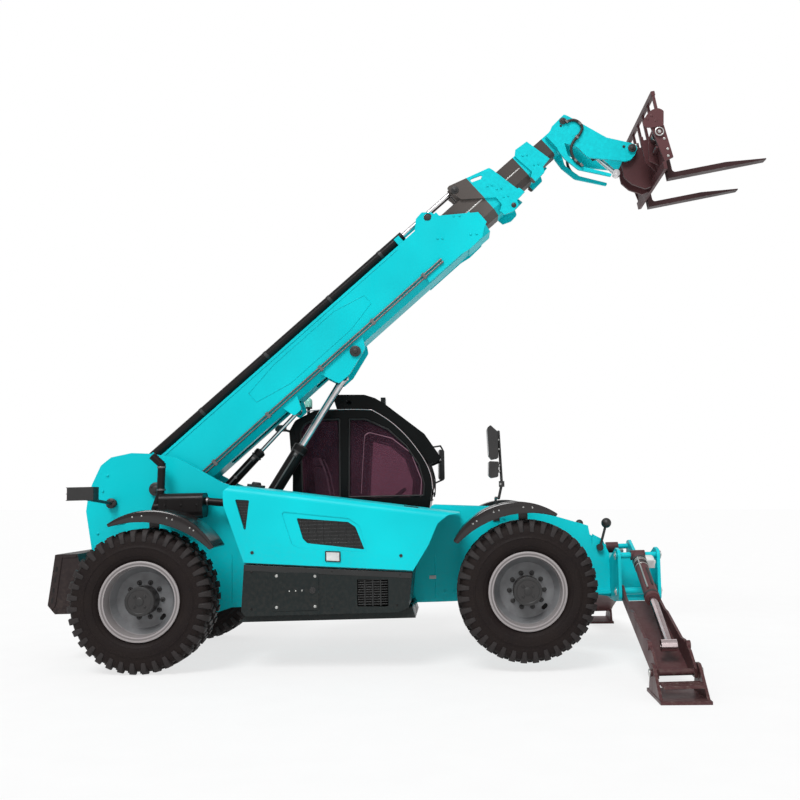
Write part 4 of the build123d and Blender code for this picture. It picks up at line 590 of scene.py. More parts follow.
def smooth_path(points, steps):
    """Points on a smooth line through the given ones."""
    if len(points) == 2:
        return list(points)
    path = []
    last = len(points) - 1
    for index in range(last):
        p0, p1 = points[max(index - 1, 0)], points[index]
        p2, p3 = points[index + 1], points[min(index + 2, last)]
        for step in range(steps):
            t = step / steps
            path.append(0.5 * (2 * p1 + (p2 - p0) * t + (2 * p0 - 5 * p1 + 4 * p2 - p3) * t * t
                               + (3 * p1 - p0 - 3 * p2 + p3) * t ** 3))
    path.append(points[last])
    return path


def tyre_point(centre, side, turn, across, radius):
    """Point of a tyre from its turn, its distance outward from the middle and its radius."""
    out = CHASSIS.along * math.cos(turn) + CHASSIS.up * math.sin(turn)
    return centre + out * (radius * MM) + ACROSS * (side * across * MM)


def build_tyre(name, axle_x, side):
    """Carcass with sidewall rings, and four rows of tread blocks."""
    centre = CHASSIS.at(axle_x, side * (OUTER_FACE - TYRE_HALF), TYRE_RADIUS)
    body = "wheel_" + name
    half = TYRE_HALF
    wall = [
        (half - 40, 300.2), (half - 40, 336), (half - 22, 350), (half - 12, 366), (half - 9, 372),
        (half - 5, 374), (half - 5, 380), (half - 3, 384), (half - 1.5, 410), (half - 0.6, 436),
        (half + 2.2, 438), (half + 2.2, 444), (half, 446), (half, 470), (half - 2, 492),
        (half - 6, 512), (half - 12, 528), (half - 24, 546), (half - 44, 560), (half - 90, 565),
        (half - 150, 567),
    ]
    profile = wall + [(-across, radius) for across, radius in reversed(wall)]
    carcass = Piece("carcass_" + name, body, tyre_rubber, "tyre")
    count = 120
    rings = [
        [tyre_point(centre, side, 2 * math.pi * step / count, across, radius)
         for step in range(count)]
        for across, radius in profile
    ]
    carcass.loft(rings, caps=False)
    carcass.done(smooth=50, replaces=("tyre_" + name,))
    tread = Piece("tread_" + name, body, tread_rubber, "tyre")
    blocks = 36
    pitch = 2 * math.pi / blocks
    for index in range(blocks):
        for hand in (-1, 1):
            start = (index + (0.25 if hand > 0 else 0.75)) * pitch
            shoulder = [
                (half - 100, 0.02, 0.48, 586.5), (half - 62, -0.05, 0.55, 587.5),
                (half - 30, -0.02, 0.56, 583), (half - 7, 0.02, 0.52, 560),
                (half + 1.5, 0.06, 0.46, 520),
            ]
            add_block(tread, centre, side, start, pitch, hand, shoulder, 34)
            middle = [(4, 0.42, 0.96, 588), (40, 0.55, 1.08, 588), (half - 108, 0.62, 1.04, 587.5)]
            add_block(tread, centre, side, start, pitch, hand, middle, 26)
    tread.done(rounding=3.0, smooth=35)


def add_block(piece, centre, side, start, pitch, hand, stations, depth):
    """Tread block through stations of (across, first share, last share, top radius)."""
    rings = []
    for across, first, last, top in stations:
        ring = []
        for share, radius in ((first, top - depth), (last, top - depth), (last - 0.05, top),
                              (first + 0.05, top)):
            ring.append(tyre_point(centre, side, start + share * pitch, hand * across, radius))
        rings.append(ring)
    piece.loft(rings)


def build_hub(name, axle_x, side):
    """Bolts and rings on the hub's face, and the studs of the wheel nuts."""
    outward = ACROSS * side
    face = CHASSIS.at(axle_x, side * (OUTER_FACE - 35), TYRE_RADIUS)
    hub = Piece("hub_" + name, "wheel_" + name, black_plastic, "iron")
    hub.lathe(face, outward, [(-4, 119), (2, 119), (4, 112), (4, 96), (1, 92), (-1, 92)], 48)
    hub.lathe(face, outward, [(-2, 34), (5, 34), (8, 28), (8, 0)], 32)
    for index in range(4):
        turn = math.radians(45 + 90 * index)
        spot = face + (CHASSIS.along * math.cos(turn) + CHASSIS.up * math.sin(turn)) * 0.058
        hub.bolt(spot, outward, 10, 8)
    hub.done(rounding=0.8)
    studs = Piece("studs_" + name, "wheel_" + name, black_plastic, "iron")
    for index in range(10):
        turn = 2 * math.pi * index / 10
        out = CHASSIS.along * math.cos(turn) + CHASSIS.up * math.sin(turn)
        spot = CHASSIS.at(axle_x, side * DISC_FACE, TYRE_RADIUS) + out * (NUT_CIRCLE * MM)
        studs.lathe(spot, outward, [(-2, 21), (3, 21), (5, 17), (6, 10)], 24)
        studs.lathe(spot, outward, [(16, 10), (19, 9), (28, 8), (30, 6)], 16)
    studs.done()
    bead = Piece("rim_bead_" + name, "wheel_" + name,
                 cad_nodes["wheel_" + name].data.materials[0], "grey_paint")
    flange = CHASSIS.at(axle_x, side * FLANGE_FACE, TYRE_RADIUS)
    ring = [(-9, 323), (-2, 327), (1.5, 323), (2, 315), (0.5, 309), (-4, 308)]
    bead.lathe(flange, outward, ring, 96, hollow=True)
    bead.done(smooth=60)


def build_wheels():
    for name, (axle_x, side) in WHEELS.items():
        build_tyre(name, axle_x, side)
        build_hub(name, axle_x, side)


def guard_point(share, depth_share):
    """Side-view point of a mudguard's crescent lip from its length and its depth."""
    start, end = (math.atan2(z - GUARD_ARC[1], x - GUARD_ARC[0]) for x, z in GUARD_ENDS)
    turn = start + (end - start) * share
    out_x, out_z = math.cos(turn), math.sin(turn)
    back_x, back_z = GUARD_ARC[0] - GUARD_INNER[0], GUARD_ARC[1] - GUARD_INNER[1]
    half = out_x * back_x + out_z * back_z
    reach = -half + math.sqrt(half ** 2 - back_x ** 2 - back_z ** 2 + GUARD_INNER[2] ** 2)
    radius = GUARD_ARC[2] + (reach - GUARD_ARC[2]) * depth_share
    return GUARD_ARC[0] + radius * out_x, GUARD_ARC[1] + radius * out_z


def build_guards():
    """Bulged glossy face over each mudguard's lip, and its bolts."""
    for name, (axle_x, side) in WHEELS.items():
        mirror = -1 if axle_x else 1
        face = Piece("guard_face_" + name, "knuckle_" + name, guard_paint, "dark_paint")
        rings = []
        for step in range(61):
            share = 0.004 + 0.992 * step / 60
            ring = []
            for depth_share, rise in GUARD_SECTION:
                x, z = guard_point(share, depth_share)
                ring.append(CHASSIS.at(axle_x + mirror * x, side * (OUTER_FACE - 5 + rise),
                                       TYRE_RADIUS + z))
            rings.append(ring)
        face.loft(rings)
        face.done(smooth=50)
        bolts = Piece("guard_bolts_" + name, "knuckle_" + name, zinc, "chrome")
        for share in (0.22, 0.3, 0.52, 0.57, 0.74, 0.78):
            x, z = guard_point(share, 0.45)
            bolts.bolt(CHASSIS.at(axle_x + mirror * x, side * (OUTER_FACE + 1.5), TYRE_RADIUS + z),
                       ACROSS * side, 5, 4)
        bolts.done(rounding=0.4)


def build_boom_fasteners():
    """Painted bolts and black pin caps along the boom and on the tower."""
    for side in (-1, 1):
        tag = "right" if side < 0 else "left"
        outward = ACROSS * side
        fixings = Piece("base_bolts_" + tag, "boom_base", teal_paint, "teal_paint")
        for s, n in ((3700, 120), (3745, 84), (3700, -120), (3745, -156), (3440, 60), (3475, 32)):
            fixings.bolt(BOOM.at(s, side * BASE_HALF, n), outward, 10, 6)
        fixings.done(rounding=0.6)
        caps = Piece("base_pins_" + tag, "boom_base", black_plastic, "dark_paint")
        caps.lathe(BOOM.at(3509, side * (BASE_HALF - 10), 273), outward,
                   [(0, 38), (6, 38), (6, 30), (14, 30), (17, 26)], 40)
        caps.lathe(BOOM.at(2144, side * (BASE_HALF + 5), -221), outward,
                   [(0, 52), (7, 52), (9, 48), (9, 24), (14, 24), (16, 20)], 40)
        caps.done(rounding=0.8)
        second = Piece("second_bolts_" + tag, "boom_second", teal_paint, "teal_paint")
        for s, n in ((4185, 40), (4223, 18), (4185, -60), (4223, -82), (4140, 120), (4178, 98)):
            second.bolt(BOOM.at(s, side * SECOND_HALF, n), outward, 9, 6)
        second.done(rounding=0.6)
        second_pin = Piece("second_pins_" + tag, "boom_second", black_plastic, "dark_paint")
        second_pin.lathe(BOOM.at(3880, side * SECOND_HALF, 300), outward,
                         [(-2, 36), (6, 36), (8, 30), (8, 20), (14, 20), (16, 16)], 40)
        second_pin.lathe(BOOM.at(4200, side * SECOND_HALF, -186), outward,
                         [(-2, 24), (6, 24), (10, 18)], 32)
        second_pin.done(rounding=0.8)
        third = Piece("third_bolts_" + tag, "boom_third", teal_paint, "teal_paint")
        for s, n in ((4600, 120), (4636, 98), (4620, -20), (4656, -42)):
            third.bolt(BOOM.at(s, side * THIRD_HALF, n), outward, 8, 6)
        third.done(rounding=0.6)
        head = Piece("head_pins_" + tag, "boom_fourth", black_plastic, "dark_paint")
        head.lathe(BOOM.at(5434, side * (HEAD_HALF + 13), -536), outward,
                   [(0, 40), (8, 40), (10, 34), (10, 18), (16, 18), (18, 12)], 40)
        head.lathe(BOOM.at(5120, side * (HEAD_HALF + 7), 110), outward,
                   [(0, 34), (7, 34), (9, 28), (9, 14), (13, 12)], 36)
        head.bolt(BOOM.at(5390, side * HEAD_HALF, -470), outward, 10, 8)
        head.bolt(BOOM.at(5075, side * HEAD_HALF, 90), outward, 9, 7)
        head.done(rounding=0.8)
        pivot = Piece("tower_pin_" + tag, "chassis", black_plastic, "dark_paint")
        pivot.lathe(CHASSIS.at(-116, side * (CHASSIS_HALF + 25), 1508), outward,
                    [(0, 62), (8, 62), (12, 56), (12, 30), (20, 30), (23, 24)], 48)
        for degrees in (30, 150, 270):
            turn = math.radians(degrees)
            pivot.bolt(CHASSIS.at(-116 + 44 * math.cos(turn), side * (CHASSIS_HALF + 36),
                                  1508 + 44 * math.sin(turn)), outward, 8, 7)
        pivot.done(rounding=0.8)


def build_boom_seams():
    """Weld beads and the pressed lines on the boom's webs."""
    for side in (-1, 1):
        tag = "right" if side < 0 else "left"
        weld = Piece("base_welds_" + tag, "boom_base", teal_paint, "teal_paint")
        near = side * (BASE_HALF + 0.5)
        weld.tube([BOOM.at(s, near, 236) for s in (-235, 3090)], 5, 8)
        weld.tube([BOOM.at(s, near, -148) for s in (-235, 3090)], 4, 8)
        outline = [(1150, 150), (1500, 196), (2250, 196), (2560, 120), (2560, 20), (2250, -40),
                   (1500, -40), (1150, 40)]
        for first, last in zip(outline, outline[1:] + outline[:1]):
            weld.tube([BOOM.at(first[0], near, first[1]), BOOM.at(last[0], near, last[1])], 3.2, 8)
        weld.done()
        grey = Piece("second_rail_" + tag, "boom_second", zinc, "inner_boom")
        grey.box(BOOM, 700, 4020, side * 162, side * 163.5, 58, 70)
        grey.done(rounding=0.4)
        rail = Piece("third_rail_" + tag, "boom_third", zinc, "inner_boom")
        rail.box(BOOM, 900, 4500, side * 132, side * 133.5, 50, 60)
        rail.done(rounding=0.4)


def between(start, end):
    """A side frame that starts at one point of the side view and runs to another."""
    run = end - start
    return Side(start.x / MM, start.z / MM, math.degrees(math.atan2(run.z, run.x)))


def spans(outline, across, swap=False):
    """Where the line across meets an outline, as the lowest and highest crossing."""
    points = [(z, x) for x, z in outline] if swap else outline
    hits = []
    for (x0, z0), (x1, z1) in zip(points, points[1:] + points[:1]):
        if (x0 - across) * (x1 - across) < 0:
            hits.append(z0 + (z1 - z0) * (across - x0) / (x1 - x0))
    return (min(hits), max(hits)) if len(hits) > 1 else None


def ring_tube(piece, side, outline, y, radius):
    """Round bead that follows a closed outline in the side view."""
    closed = outline + outline[:1]
    for (x0, z0), (x1, z1) in zip(closed, closed[1:]):
        piece.tube([side.at(x0, y, z0), side.at(x1, y, z1)], radius, 10)


# Outlines in the side view, in millimetres of the chassis, the tool or the boom
HOOD_WINDOW = [
    (1270, 1234), (1690, 1193), (1732, 1168), (1756, 1149), (1828, 963), (1357, 1026),
    (1321, 1063),
]
HOOD_VENT = [(764, 1400), (881, 1390), (848, 1119)]
RIGHT_WINDOWS = (
    [(1108, 1412), (1092, 2040), (1130, 2110), (1215, 2155), (1470, 2155), (1470, 1400)],
    [(1557, 1396), (1567, 2155), (1725, 2150), (1945, 2045), (2120, 1882), (2240, 1696),
     (2290, 1500), (2280, 1396)],
)
CARRIAGE_LUG = [
    (212, 14), (239, 131), (224, 150), (202, 165), (177, 171), (140, 165), (108, 151), (74, 124),
    (45, 91), (26, 60), (22, 35), (42, 10), (90, 0), (200, -6),
]
HEAD_PIPE = (
    (5142, 79), (5200, 50), (5226, -5), (5215, -62), (5156, -94), (5072, -106), (5004, -134),
    (4962, -185), (4943, -245), (4945, -300), (4956, -338),
)
HEAD_CLIPS = ((5142, 79), (5224, -20), (5110, -101), (4942, -262), (4954, -332))
# Line of the painted highlight along the edge of the cab's roof
ROOF_HIGHLIGHT_LINE = [
    (1069, 2190), (1160, 2240), (1385, 2252), (1740, 2246), (1823, 2221), (1975, 2119),
    (2116, 1985), (2232, 1835), (2312, 1703), (2355, 1583), (2370, 1455),
]
DOOR_WINDOW = [
    (1670, 1030), (1690, 1500), (1722, 1985), (1912, 1928), (2070, 1793), (2153, 1550),
    (2130, 1300), (2092, 1030),
]


def build_hood_details():
    """Slats, a black line as painted shade in the seam, blank plate, latches, filler cap and front
    grille of the hood.
    """
    slats = Piece("hood_slats", "hood", trim_plastic, "plastic")
    for outline, pitch in ((HOOD_WINDOW, 30), (HOOD_VENT, 22)):
        lowest = min(z for x, z in outline)
        highest = max(z for x, z in outline)
        level = lowest + pitch
        while level < highest - 6:
            found = spans(outline, level, swap=True)
            if found:
                slats.box(CHASSIS, found[0] + 4, found[1] - 4, HOOD_OUTER + 10, HOOD_OUTER + 25,
                          level - 4, level + 4)
            level += pitch
    for column in range(1300, 1820, 62):
        found = spans(HOOD_WINDOW, column)
        if found:
            slats.box(CHASSIS, column - 3, column + 3, HOOD_OUTER + 13, HOOD_OUTER + 25,
                      found[0] + 4, found[1] - 4)
    slats.done(rounding=1.0)
    # Black tube along the seam: painted shade in the seam's gap
    seams = Piece("hood_seam_shade", "hood", opening_shade_black, "plastic")
    seams.tube([CHASSIS.at(838, HOOD_OUTER + 1, 876), CHASSIS.at(2222, HOOD_OUTER + 1, 777)], 4, 8)
    seams.done()
    plate = Piece("hood_plate", "hood", plate_white, "plastic")
    plate.slab(CHASSIS, [(1516, 950), (1622, 943), (1622, 874), (1516, 881)], HOOD_OUTER - 10,
               HOOD_OUTER - 8.5)
    plate.done(rounding=0.5)
    latch = Piece("hood_latch", "hood", black_plastic, "plastic")
    for x, z in ((2130, 905), (905, 960)):
        latch.lathe(CHASSIS.at(x, HOOD_OUTER - 1, z), ACROSS * -1,
                    [(0, 14), (3, 14), (4, 12), (2, 10), (2, 4), (4, 4), (4, 0)], 32)
    latch.done(rounding=0.4)
    cap = Piece("filler_cap", "hood", black_plastic, "plastic")
    spot = ROOF.at(90, -465, 21)
    cap.lathe(spot, ROOF.up, [(0, 42), (12, 42), (16, 38), (22, 36), (24, 30), (24, 0)], 12)
    cap.done(rounding=1.0)
    front = Piece("front_grille", "hood", trim_plastic, "plastic")
    for row in range(11):
        low = row / 11.0
        x = 2180 + 152 * (low + 0.05)
        z = 800 + 435 * (low + 0.05)
        front.box(CHASSIS, x + 12, x + 34, -1085, -395, z, z + 12)
    front.done(rounding=1.0)


def build_tray_details():
    """Hatch, upper band and grille of the side tray."""
    bolts = Piece("hatch_bolts", "chassis", zinc, "chrome")
    dark = Piece("tray_bolts", "chassis", black_paint, "dark_paint")
    for x, z in ((1105, 765), (1420, 755), (1105, 510), (1420, 510)):
        bolts.bolt(CHASSIS.at(x, HOOD_OUTER - 5, z), ACROSS * -1, 9, 6)
    for x in (1210, 1262, 1314):
        bolts.lathe(CHASSIS.at(x, HOOD_OUTER - 5, 640), ACROSS * -1,
                    [(-1, 6), (2, 6), (3, 4), (1, 3), (1, 0)], 20)
    for x, z in ((900, 800), (900, 500), (1560, 790), (1560, 495), (2120, 750), (2090, 500)):
        dark.bolt(CHASSIS.at(x, HOOD_OUTER, z), ACROSS * -1, 6, 4)
    bolts.done(rounding=0.5)
    dark.done(rounding=0.5)
    band = Piece("tray_band", "chassis", trim_plastic, "dark_paint")
    band.slab(CHASSIS, [(842, 862), (838, 815), (2212, 718), (2220, 764)], HOOD_OUTER - 3,
              HOOD_OUTER + 4)
    band.done(rounding=1.5)
    slats = Piece("tray_slats", "chassis", trim_plastic, "plastic")
    for level in range(514, 715, 20):
        slats.box(CHASSIS, 1770, 2016, HOOD_OUTER + 8, HOOD_OUTER + 22, level - 4, level + 4)
    for column in (1828, 1893, 1958):
        slats.box(CHASSIS, column - 5, column + 5, HOOD_OUTER + 6, HOOD_OUTER + 24, 500, 715)
    slats.done(rounding=1.0)
    handle = Piece("hatch_handle", "chassis", black_plastic, "plastic")
    handle.lathe(CHASSIS.at(1400, HOOD_OUTER - 5, 640), ACROSS * -1,
                 [(-1, 26), (3, 26), (4, 22), (1, 20), (1, 0)], 32)
    handle.box(CHASSIS, 1394, 1406, HOOD_OUTER - 10, HOOD_OUTER - 5, 620, 660)
    handle.done(rounding=0.8)


def build_weight_details():
    """Raised border on each side of the counterweight, and black slabs as painted shade inside its
    slots.
    """
    border = Piece("weight_border", "chassis", weight_paint, "dark_paint")
    slot_shades = Piece("weight_slot_shades", "chassis", opening_shade_black, "plastic")
    for side in (-1, 1):
        y0, y1 = side * 578, side * 587
        border.slab(CHASSIS, [(-905, 955), (-962, 520), (-925, 478), (-893, 520), (-842, 925),
                              (-842, 955)], y0, y1)
        border.slab(CHASSIS, [(-842, 955), (-842, 926), (-722, 926), (-718, 955)], y0, y1)
        border.slab(CHASSIS, [(-925, 478), (-900, 447), (-660, 447), (-660, 470), (-893, 485)],
                    y0, y1)
        # Black slabs as painted shade inside the counterweight's slots
        for level in (560, 650, 740, 830):
            x = -905 - (957 - level) * 0.1347 + 34
            slot_shades.slab(CHASSIS, [(x - 9, level - 22), (x + 5, level - 22), (x + 9, level + 22),
                                 (x - 5, level + 22)], y0, side * 587.6)
    border.done(rounding=3)
    slot_shades.done()


def build_cab_details():
    """Painted highlight rails along the roof's edges, seals, belt, door handle, wiper, controls
    and steps of the cab.
    """
    # Bright rail on each side of the roof's edge: a painted highlight of the cab frame's glossy
    # edge
    rail = Piece("roof_highlight_rail", "chassis", rosy_chrome, "chrome")
    for y in (CAB_RIGHT - 1, CAB_LEFT + 1):
        rail.tube([CHASSIS.at(x, y, z) for x, z in ROOF_HIGHLIGHT_LINE], 5, 8, 5)
    rail.done(smooth=60)
    belt = Piece("seat_belt", "chassis", plate_white, "seat")
    for y in (SEAT_Y - 175, SEAT_Y + 150):
        belt.tube([CHASSIS.at(1240, y, 1790), CHASSIS.at(1300, y, 1640), CHASSIS.at(1345, y, 1420),
                   CHASSIS.at(1385, y, 1200), CHASSIS.at(1400, y, 1100)], 9, 8, 5)
    belt.done()
    seals = Piece("window_seals", "chassis", hose_rubber, "plastic")
    for outline in RIGHT_WINDOWS:
        ring_tube(seals, CHASSIS, outline, CAB_RIGHT - 1, 9)
        ring_tube(seals, CHASSIS, outline, CAB_RIGHT + 14, 7)
    for y in (CAB_RIGHT + 76, CAB_LEFT - 76):
        seals.tube([CHASSIS.at(x, y, z) for x, z in (
            (2372, 1470), (2362, 1580), (2296, 1790), (2157, 1982), (1985, 2128), (1905, 2168))],
            8, 10, 5)
    seals.tube([CHASSIS.at(2352, y, 1345) for y in (CAB_RIGHT + 76, CAB_LEFT - 76)], 8, 10)
    seals.done()
    door = Piece("door_seals", "door", hose_rubber, "plastic")
    ring_tube(door, CHASSIS, DOOR_WINDOW, CAB_LEFT + 1, 9)
    ring_tube(door, CHASSIS, [(1662, 735), (1667, 918), (2070, 918), (2052, 735)], CAB_LEFT + 1, 9)
    door.done()
    handle = Piece("door_handle", "door", black_plastic, "plastic")
    handle.box(CHASSIS, 2030, 2150, CAB_LEFT - 1, CAB_LEFT + 6, 1060, 1130)
    handle.tube([CHASSIS.at(2050, CAB_LEFT + 4, 1095), CHASSIS.at(2060, CAB_LEFT + 34, 1095),
                 CHASSIS.at(2120, CAB_LEFT + 36, 1095), CHASSIS.at(2130, CAB_LEFT + 4, 1095)],
                8, 12, 6)
    handle.done(rounding=1.5)
    wiper = Piece("wiper", "chassis", black_plastic, "plastic")
    wiper.lathe(CHASSIS.at(2368, SEAT_Y, 1400), CHASSIS.along, [(0, 24), (14, 24), (18, 14)], 24)
    wiper.tube([CHASSIS.at(2384, SEAT_Y, 1400), CHASSIS.at(2386, SEAT_Y + 60, 1560),
                CHASSIS.at(2340, SEAT_Y + 130, 1730)], 6, 10, 6)
    wiper.tube([CHASSIS.at(2383, SEAT_Y + 110, 1560), CHASSIS.at(2350, SEAT_Y + 128, 1690),
                CHASSIS.at(2290, SEAT_Y + 145, 1830)], 7, 8, 5)
    wiper.done()
    panel = Piece("dash_face", "chassis", trim_plastic, "plastic")
    panel.lathe(CHASSIS.at(2080, SEAT_Y - 90, 1215), Vector((-0.5, 0, 1)),
                [(0, 42), (6, 42), (8, 38), (3, 36), (3, 0)], 32)
    panel.lathe(CHASSIS.at(2080, SEAT_Y + 20, 1215), Vector((-0.5, 0, 1)),
                [(0, 42), (6, 42), (8, 38), (3, 36), (3, 0)], 32)
    for row in range(6):
        panel.box(CHASSIS, 2092, 2118, SEAT_Y + 90 + row * 24, SEAT_Y + 108 + row * 24, 1205,
                  1232)
    panel.done(rounding=1.0)
    lever = Piece("joystick_grip", "chassis", hose_rubber, "plastic")
    lever.lathe(CHASSIS.at(1728, SEAT_Y - 296, 1225), CHASSIS.up,
                [(0, 18), (20, 20), (45, 17), (80, 23), (98, 20), (104, 10)], 20)
    lever.lathe(CHASSIS.at(1706, SEAT_Y - 296, 1128), CHASSIS.up,
                [(0, 46), (8, 42), (12, 44), (20, 34), (24, 36), (34, 22)], 24)
    lever.done()
    grip = Piece("steering_grip", "chassis", hose_rubber, "plastic")
    tilt_axis = (CHASSIS.along * -160 + CHASSIS.up * 180).normalized()
    second = tilt_axis.cross(ACROSS)
    middle = CHASSIS.at(1940, SEAT_Y, 1341)
    ring = []
    for step in range(49):
        turn = 2 * math.pi * step / 48
        ring.append(middle + (ACROSS * math.cos(turn) + second * math.sin(turn)) * 0.18)
    grip.tube(ring, 17.5, 14, 2)
    grip.done(smooth=60)
    step_plate = Piece("cab_steps", "chassis", black_paint, "dark_paint")
    for z, y in ((330, 1040), (455, 1000)):
        step_plate.box(CHASSIS, 1640, 2060, y - 110, y + 110, z, z + 16)
        for tooth in range(9):
            x = 1670 + tooth * 45
            step_plate.lathe(CHASSIS.at(x, y, z + 15), CHASSIS.up, [(0, 10), (6, 8), (6, 5)], 10)
    for x in (1650, 2050):
        step_plate.slab(CHASSIS, [(x - 8, 330), (x + 8, 330), (x + 8, 562), (x - 8, 562)],
                        880, 1130)
    step_plate.done(rounding=1.5)


def cushion(name, side, outline, y0, y1, crown, seams):
    """Upholstered form with crowned faces and sewn channels."""
    piece = Piece(name, "chassis", seat_cloth, "seat")
    low, high = sorted((y0, y1))
    middle_x = sum(x for x, z in outline) / len(outline)
    middle_z = sum(z for x, z in outline) / len(outline)
    rings = []
    for share in (0, 0.04, 0.12, 0.3, 0.5, 0.7, 0.88, 0.96, 1):
        bulge = 1 + crown * (math.sin(math.pi * share) ** 0.4 - 1)
        y = low + (high - low) * share
        rings.append([side.at(middle_x + (x - middle_x) * bulge, y,
                              middle_z + (z - middle_z) * bulge) for x, z in outline])
    piece.loft(rings)
    made = piece.done(rounding=18, smooth=60)
    made.modifiers["rounding"].segments = 4
    smooth = made.modifiers.new("softness", "SUBSURF")
    smooth.levels = smooth.render_levels = 1
    piping = Piece(name + "_piping", "chassis", hose_rubber, "seat")
    for x, z in seams:
        piping.tube([side.at(x, low + 22, z), side.at(x, high - 22, z)], 4, 8)
    piping.done()
    return made


def build_seat():
    """Bellows base and padded cushions in place of the CAD seat."""
    base = Piece("seat_base", "chassis", black_plastic, "seat")
    base.box(CHASSIS, 1290, 1620, SEAT_Y - 180, SEAT_Y + 180, 600, 660)
    for row in range(6):
        z = 665 + row * 50
        inset = 18 if row % 2 else 0
        base.box(CHASSIS, 1300 + inset, 1610 - inset, SEAT_Y - 170 + inset, SEAT_Y + 170 - inset,
                 z, z + 48)
    base.box(CHASSIS, 1245, 1740, SEAT_Y - 235, SEAT_Y + 235, 968, 986)
    base.done(rounding=6, replaces=("seat",))
    cushion("seat_cushion", CHASSIS,
            [(1260, 988), (1750, 988), (1758, 1030), (1740, 1082), (1600, 1076), (1380, 1070),
             (1262, 1064)], SEAT_Y - 245, SEAT_Y + 245, 0.12, ((1450, 1088), (1600, 1091)))
    cushion("seat_back", CHASSIS,
            [(1262, 1080), (1362, 1074), (1335, 1300), (1290, 1500), (1252, 1700), (1180, 1712),
             (1196, 1500), (1235, 1250)], SEAT_Y - 235, SEAT_Y + 235, 0.10,
            ((1348, 1280), (1308, 1450)))
    cushion("seat_headrest", CHASSIS,
            [(1166, 1722), (1244, 1722), (1236, 1792), (1160, 1796)], SEAT_Y - 130, SEAT_Y + 130,
            0.2, ((1246, 1756),))


def build_lamps():
    """Lenses, mirror faces, clamps and reflectors."""
    beacon = Piece("beacon_lens", "chassis", mint_lens, "glass")
    beacon.lathe(CHASSIS.at(1109, SEAT_Y, 2318), CHASSIS.up,
                 [(0, 39), (60, 39), (78, 34), (90, 24), (96, 10), (97, 0)], 32)
    beacon.done(smooth=60)
    work = Piece("work_lamp_lens", "chassis", clear_lens, "glass")
    work.box(CHASSIS, 1895, 1901, SEAT_Y - 78, SEAT_Y - 18, 2326, 2388)
    work.box(CHASSIS, 794, 801, 570, 690, 2078, 2122)
    work.done(rounding=2)
    rear = Piece("rear_lenses", "chassis", red_lens, "glass")
    rim = Piece("rear_lens_rims", "chassis", black_plastic, "plastic")
    for side in (-1, 1):
        rear.box(CHASSIS, -656, -650, side * 890, side * 1000, 1478, 1524)
        rear.box(CHASSIS, -656, -650, side * 890, side * 1000, 1428, 1472)
        for z0, z1 in ((1474, 1480), (1420, 1426), (1526, 1532)):
            rim.box(CHASSIS, -660, -640, side * 884, side * 1006, z0, z1)
        rim.lathe(CHASSIS.at(-512, side * 340, 1389), ACROSS * side,
                  [(-4, 46), (4, 46), (8, 40), (8, 0)], 32)
        for degrees in (45, 135, 225, 315):
            turn = math.radians(degrees)
            x, z = -512 + 30 * math.cos(turn), 1389 + 30 * math.sin(turn)
            rim.bolt(CHASSIS.at(x, side * 348, z), ACROSS * side, 6, 5)
    rear.done(rounding=1.5)
    rim.done(rounding=1.0)
    glassy = Piece("mirror_glass", "chassis", mirror_face, "chrome")
    glassy.slab(CHASSIS, [(2869, 1950), (2873, 1950), (2882, 1728), (2878, 1728)], -1002, -798)
    glassy.slab(CHASSIS, [(2878, 1668), (2882, 1668), (2878, 1556), (2874, 1556)], -998, -802)
    glassy.slab(CHASSIS, [(2414, 1868), (2419, 1868), (2414, 1572), (2410, 1572)], 1190, 1370)
    glassy.done(rounding=1.0)
    clamps = Piece("mirror_clamps", "chassis", zinc, "chrome")
    for z in (1590, 1640, 1780, 1860):
        clamps.bolt(CHASSIS.at(2971, -914, z), ACROSS * -1, 6, 5)
    for z in (1180, 1240):
        clamps.bolt(CHASSIS.at(2944, -CHASSIS_HALF - 14, z), ACROSS * -1, 7, 5)
    clamps.bolt(CHASSIS.at(2978, -924, 1480), ACROSS * -1, 7, 5)
    clamps.done(rounding=0.4)
    reflector = Piece("side_reflectors", "chassis", plate_white, "plastic")
    for side in (-1, 1):
        reflector.box(CHASSIS, 2340, 2400, side * CHASSIS_HALF, side * (CHASSIS_HALF + 5), 640,
                      670)
    reflector.done(rounding=1)


LIFT = between(CHASSIS.at(253.7, 0, 450), BOOM.at(1905, 0, -305))
LEVEL = between(CHASSIS.at(120, 0, 1160), BOOM.at(1364, 0, -255))
TILT = between(BOOM.at(5120, 0, 110), BOOM.at(5203, 0, -596))


